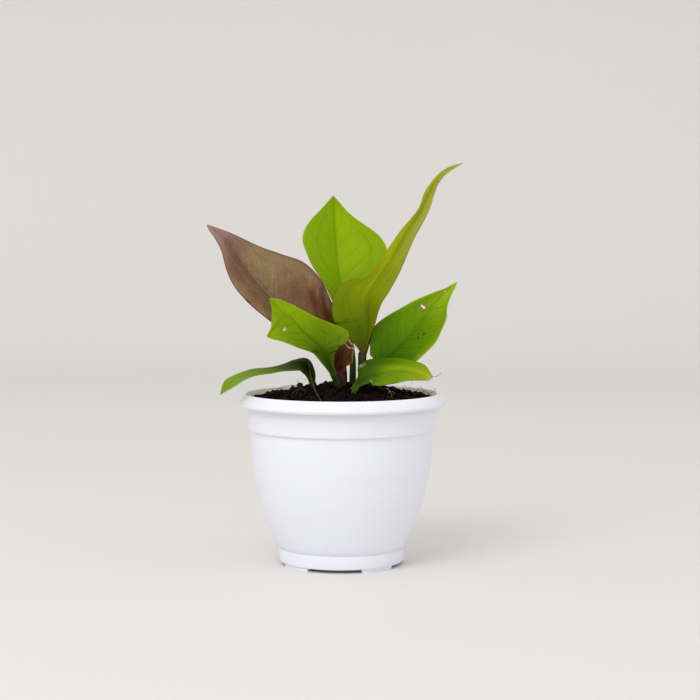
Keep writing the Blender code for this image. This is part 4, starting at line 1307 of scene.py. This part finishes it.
def make_backdrop(colour):
    """A pale floor that bends up into a backdrop behind the plant."""
    material, graph, shader = new_material("pale_floor", 0.7)
    cloud = graph.noise(graph.place(), scale=3.0, detail=4.0)
    graph.join(shader, {"Base Color": graph.mix(cloud, tinted(colour, FLOOR_CLOUD), colour)})
    bend = arc(BACKDROP_DEPTH - BACKDROP_BEND, BACKDROP_BEND, BACKDROP_BEND, -90, 0, BEND_STEPS)
    line = [(STAGE_FRONT, 0.0), *bend, (BACKDROP_DEPTH, STAGE_TOP)]
    points = [(x, y, z) for y, z in line for x in (-STAGE_HALF_WIDTH, STAGE_HALF_WIDTH)]
    faces = [(2 * i, 2 * i + 1, 2 * i + 3, 2 * i + 2) for i in range(len(line) - 1)]
    mesh = bpy.data.meshes.new("floor")
    mesh.from_pydata(points, [], faces)
    mesh.shade_smooth()
    mesh.materials.append(material)
    floor = new_object("floor", mesh)


def make_lights(scene, settings):
    """A large soft light from the front left, and light from all round."""
    light = bpy.data.lights.new("key", "AREA")
    light.shape = "DISK"
    light.size = KEY_SIZE
    light.energy = settings.key
    light.color = KEY_COLOUR
    lamp = new_object("key", light)
    lamp.location = KEY_PLACE
    lamp.rotation_euler = ((CAD_BOX[0] + CAD_BOX[1]) / 2 - KEY_PLACE).to_track_quat("-Z", "Y").to_euler()
    world = bpy.data.worlds.new("soft_sky")
    world.use_nodes = True
    sky = world.node_tree.nodes["Background"]
    sky.inputs["Color"].default_value = SKY_COLOUR
    sky.inputs["Strength"].default_value = settings.sky
    scene.world = world
    scene.view_settings.view_transform = "Standard"


def make_camera(scene, settings):
    camera = bpy.data.cameras.new("camera")
    camera.lens = settings.lens
    view = new_object("camera", camera)
    view.location = (CAMERA_SIDE, -settings.distance, settings.height)
    view.rotation_euler = (math.pi / 2 - settings.tilt, 0.0, 0.0)
    scene.camera = view


class PLANT_OT_pot(bpy.types.Operator):
    """Make the pot with its lip, band, foot ring and drain holes"""

    bl_idname = "plant.make_pot"
    bl_label = "Pot"

    def execute(self, context):
        settings = context.scene.potted_plant.pot
        mesh = lathe_mesh("pot_fine", pot_section(settings.wall), turn_angles(settings.steps))
        pot = add_piece("pot_fine", mesh, [pot_material(tuple(settings.colour))], ["pot"])
        drill_floor(pot)
        return {"FINISHED"}


class PLANT_OT_soil(bpy.types.Operator):
    """Make the soil's surface, its crumbs and the fibres that lie on it"""

    bl_idname = "plant.make_soil"
    bl_label = "Soil"

    def execute(self, context):
        settings = context.scene.potted_plant.soil
        material = soil_material(tuple(settings.colour))
        add_piece("soil_fine", soil_mesh(), [material], ["soil"])
        add_piece("soil_crumbs", crumb_mesh(settings), [material])
        fibres = [
            streaked_material("brown_fibre", BROWN_FIBRE, tinted(BROWN_FIBRE, BROWN_FIBRE_STREAK)),
            streaked_material("pale_fibre", PALE_FIBRE, tinted(PALE_FIBRE, PALE_FIBRE_STREAK)),
        ]
        add_piece("root_fibres", fibre_mesh(settings.hairs), fibres)
        return {"FINISHED"}


class PLANT_OT_leaves(bpy.types.Operator):
    """Make each leaf's blade with its veins, folds and marks"""

    bl_idname = "plant.make_leaves"
    bl_label = "Leaf blades"

    def execute(self, context):
        for name in LEAVES:
            make_blade(name, context.scene.potted_plant.foliage)
        return {"FINISHED"}


class PLANT_OT_stalks(bpy.types.Operator):
    """Make the stalks with their runs under the blades, and finish the crown"""

    bl_idname = "plant.make_stalks"
    bl_label = "Stalks and crown"

    def execute(self, context):
        settings = context.scene.potted_plant.foliage
        for name in LEAVES:
            make_stalk(name, settings)
        colour = tuple(settings.green_stalk)
        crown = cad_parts["crown"]
        crown.data.materials.clear()
        crown.data.materials.append(streaked_material("crown_stem", colour, tinted(colour, CROWN_STREAK)))
        return {"FINISHED"}


class PLANT_OT_stage(bpy.types.Operator):
    """Make the floor with its backdrop, the lights and the camera"""

    bl_idname = "plant.make_stage"
    bl_label = "Stage"

    def execute(self, context):
        settings = context.scene.potted_plant.stage
        make_backdrop(tuple(settings.floor))
        make_lights(context.scene, settings)
        make_camera(context.scene, settings)
        return {"FINISHED"}


PANEL_ROWS = (
    ("pot", (PLANT_OT_pot,)),
    ("soil", (PLANT_OT_soil,)),
    ("foliage", (PLANT_OT_leaves, PLANT_OT_stalks)),
    ("stage", (PLANT_OT_stage,)),
)


class PLANT_PT_panel(bpy.types.Panel):
    """Lists the steps that build the plant, with their settings"""

    bl_idname = "PLANT_PT_panel"
    bl_label = "Potted Anthurium"
    bl_space_type = "VIEW_3D"
    bl_region_type = "UI"
    bl_category = "Plant"

    def draw(self, context):
        settings = context.scene.potted_plant
        for group, operators in PANEL_ROWS:
            box = self.layout.box()
            chosen = getattr(settings, group)
            for title in chosen.__annotations__:
                box.prop(chosen, title)
            for operator in operators:
                box.operator(operator.bl_idname)


CLASSES = (
    PotSettings, SoilSettings, FoliageSettings, StageSettings, PlantSettings,
    PLANT_OT_pot, PLANT_OT_soil, PLANT_OT_leaves, PLANT_OT_stalks, PLANT_OT_stage, PLANT_PT_panel,
)


def register():
    for cls in CLASSES:
        bpy.utils.register_class(cls)
    bpy.types.Scene.potted_plant = PointerProperty(type=PlantSettings)


def unregister():
    del bpy.types.Scene.potted_plant
    for cls in reversed(CLASSES):
        bpy.utils.unregister_class(cls)


def main():
    register()
    bpy.ops.plant.make_pot()
    bpy.ops.plant.make_soil()
    bpy.ops.plant.make_leaves()
    bpy.ops.plant.make_stalks()
    bpy.ops.plant.make_stage()


if __name__ == "__main__":
    main()
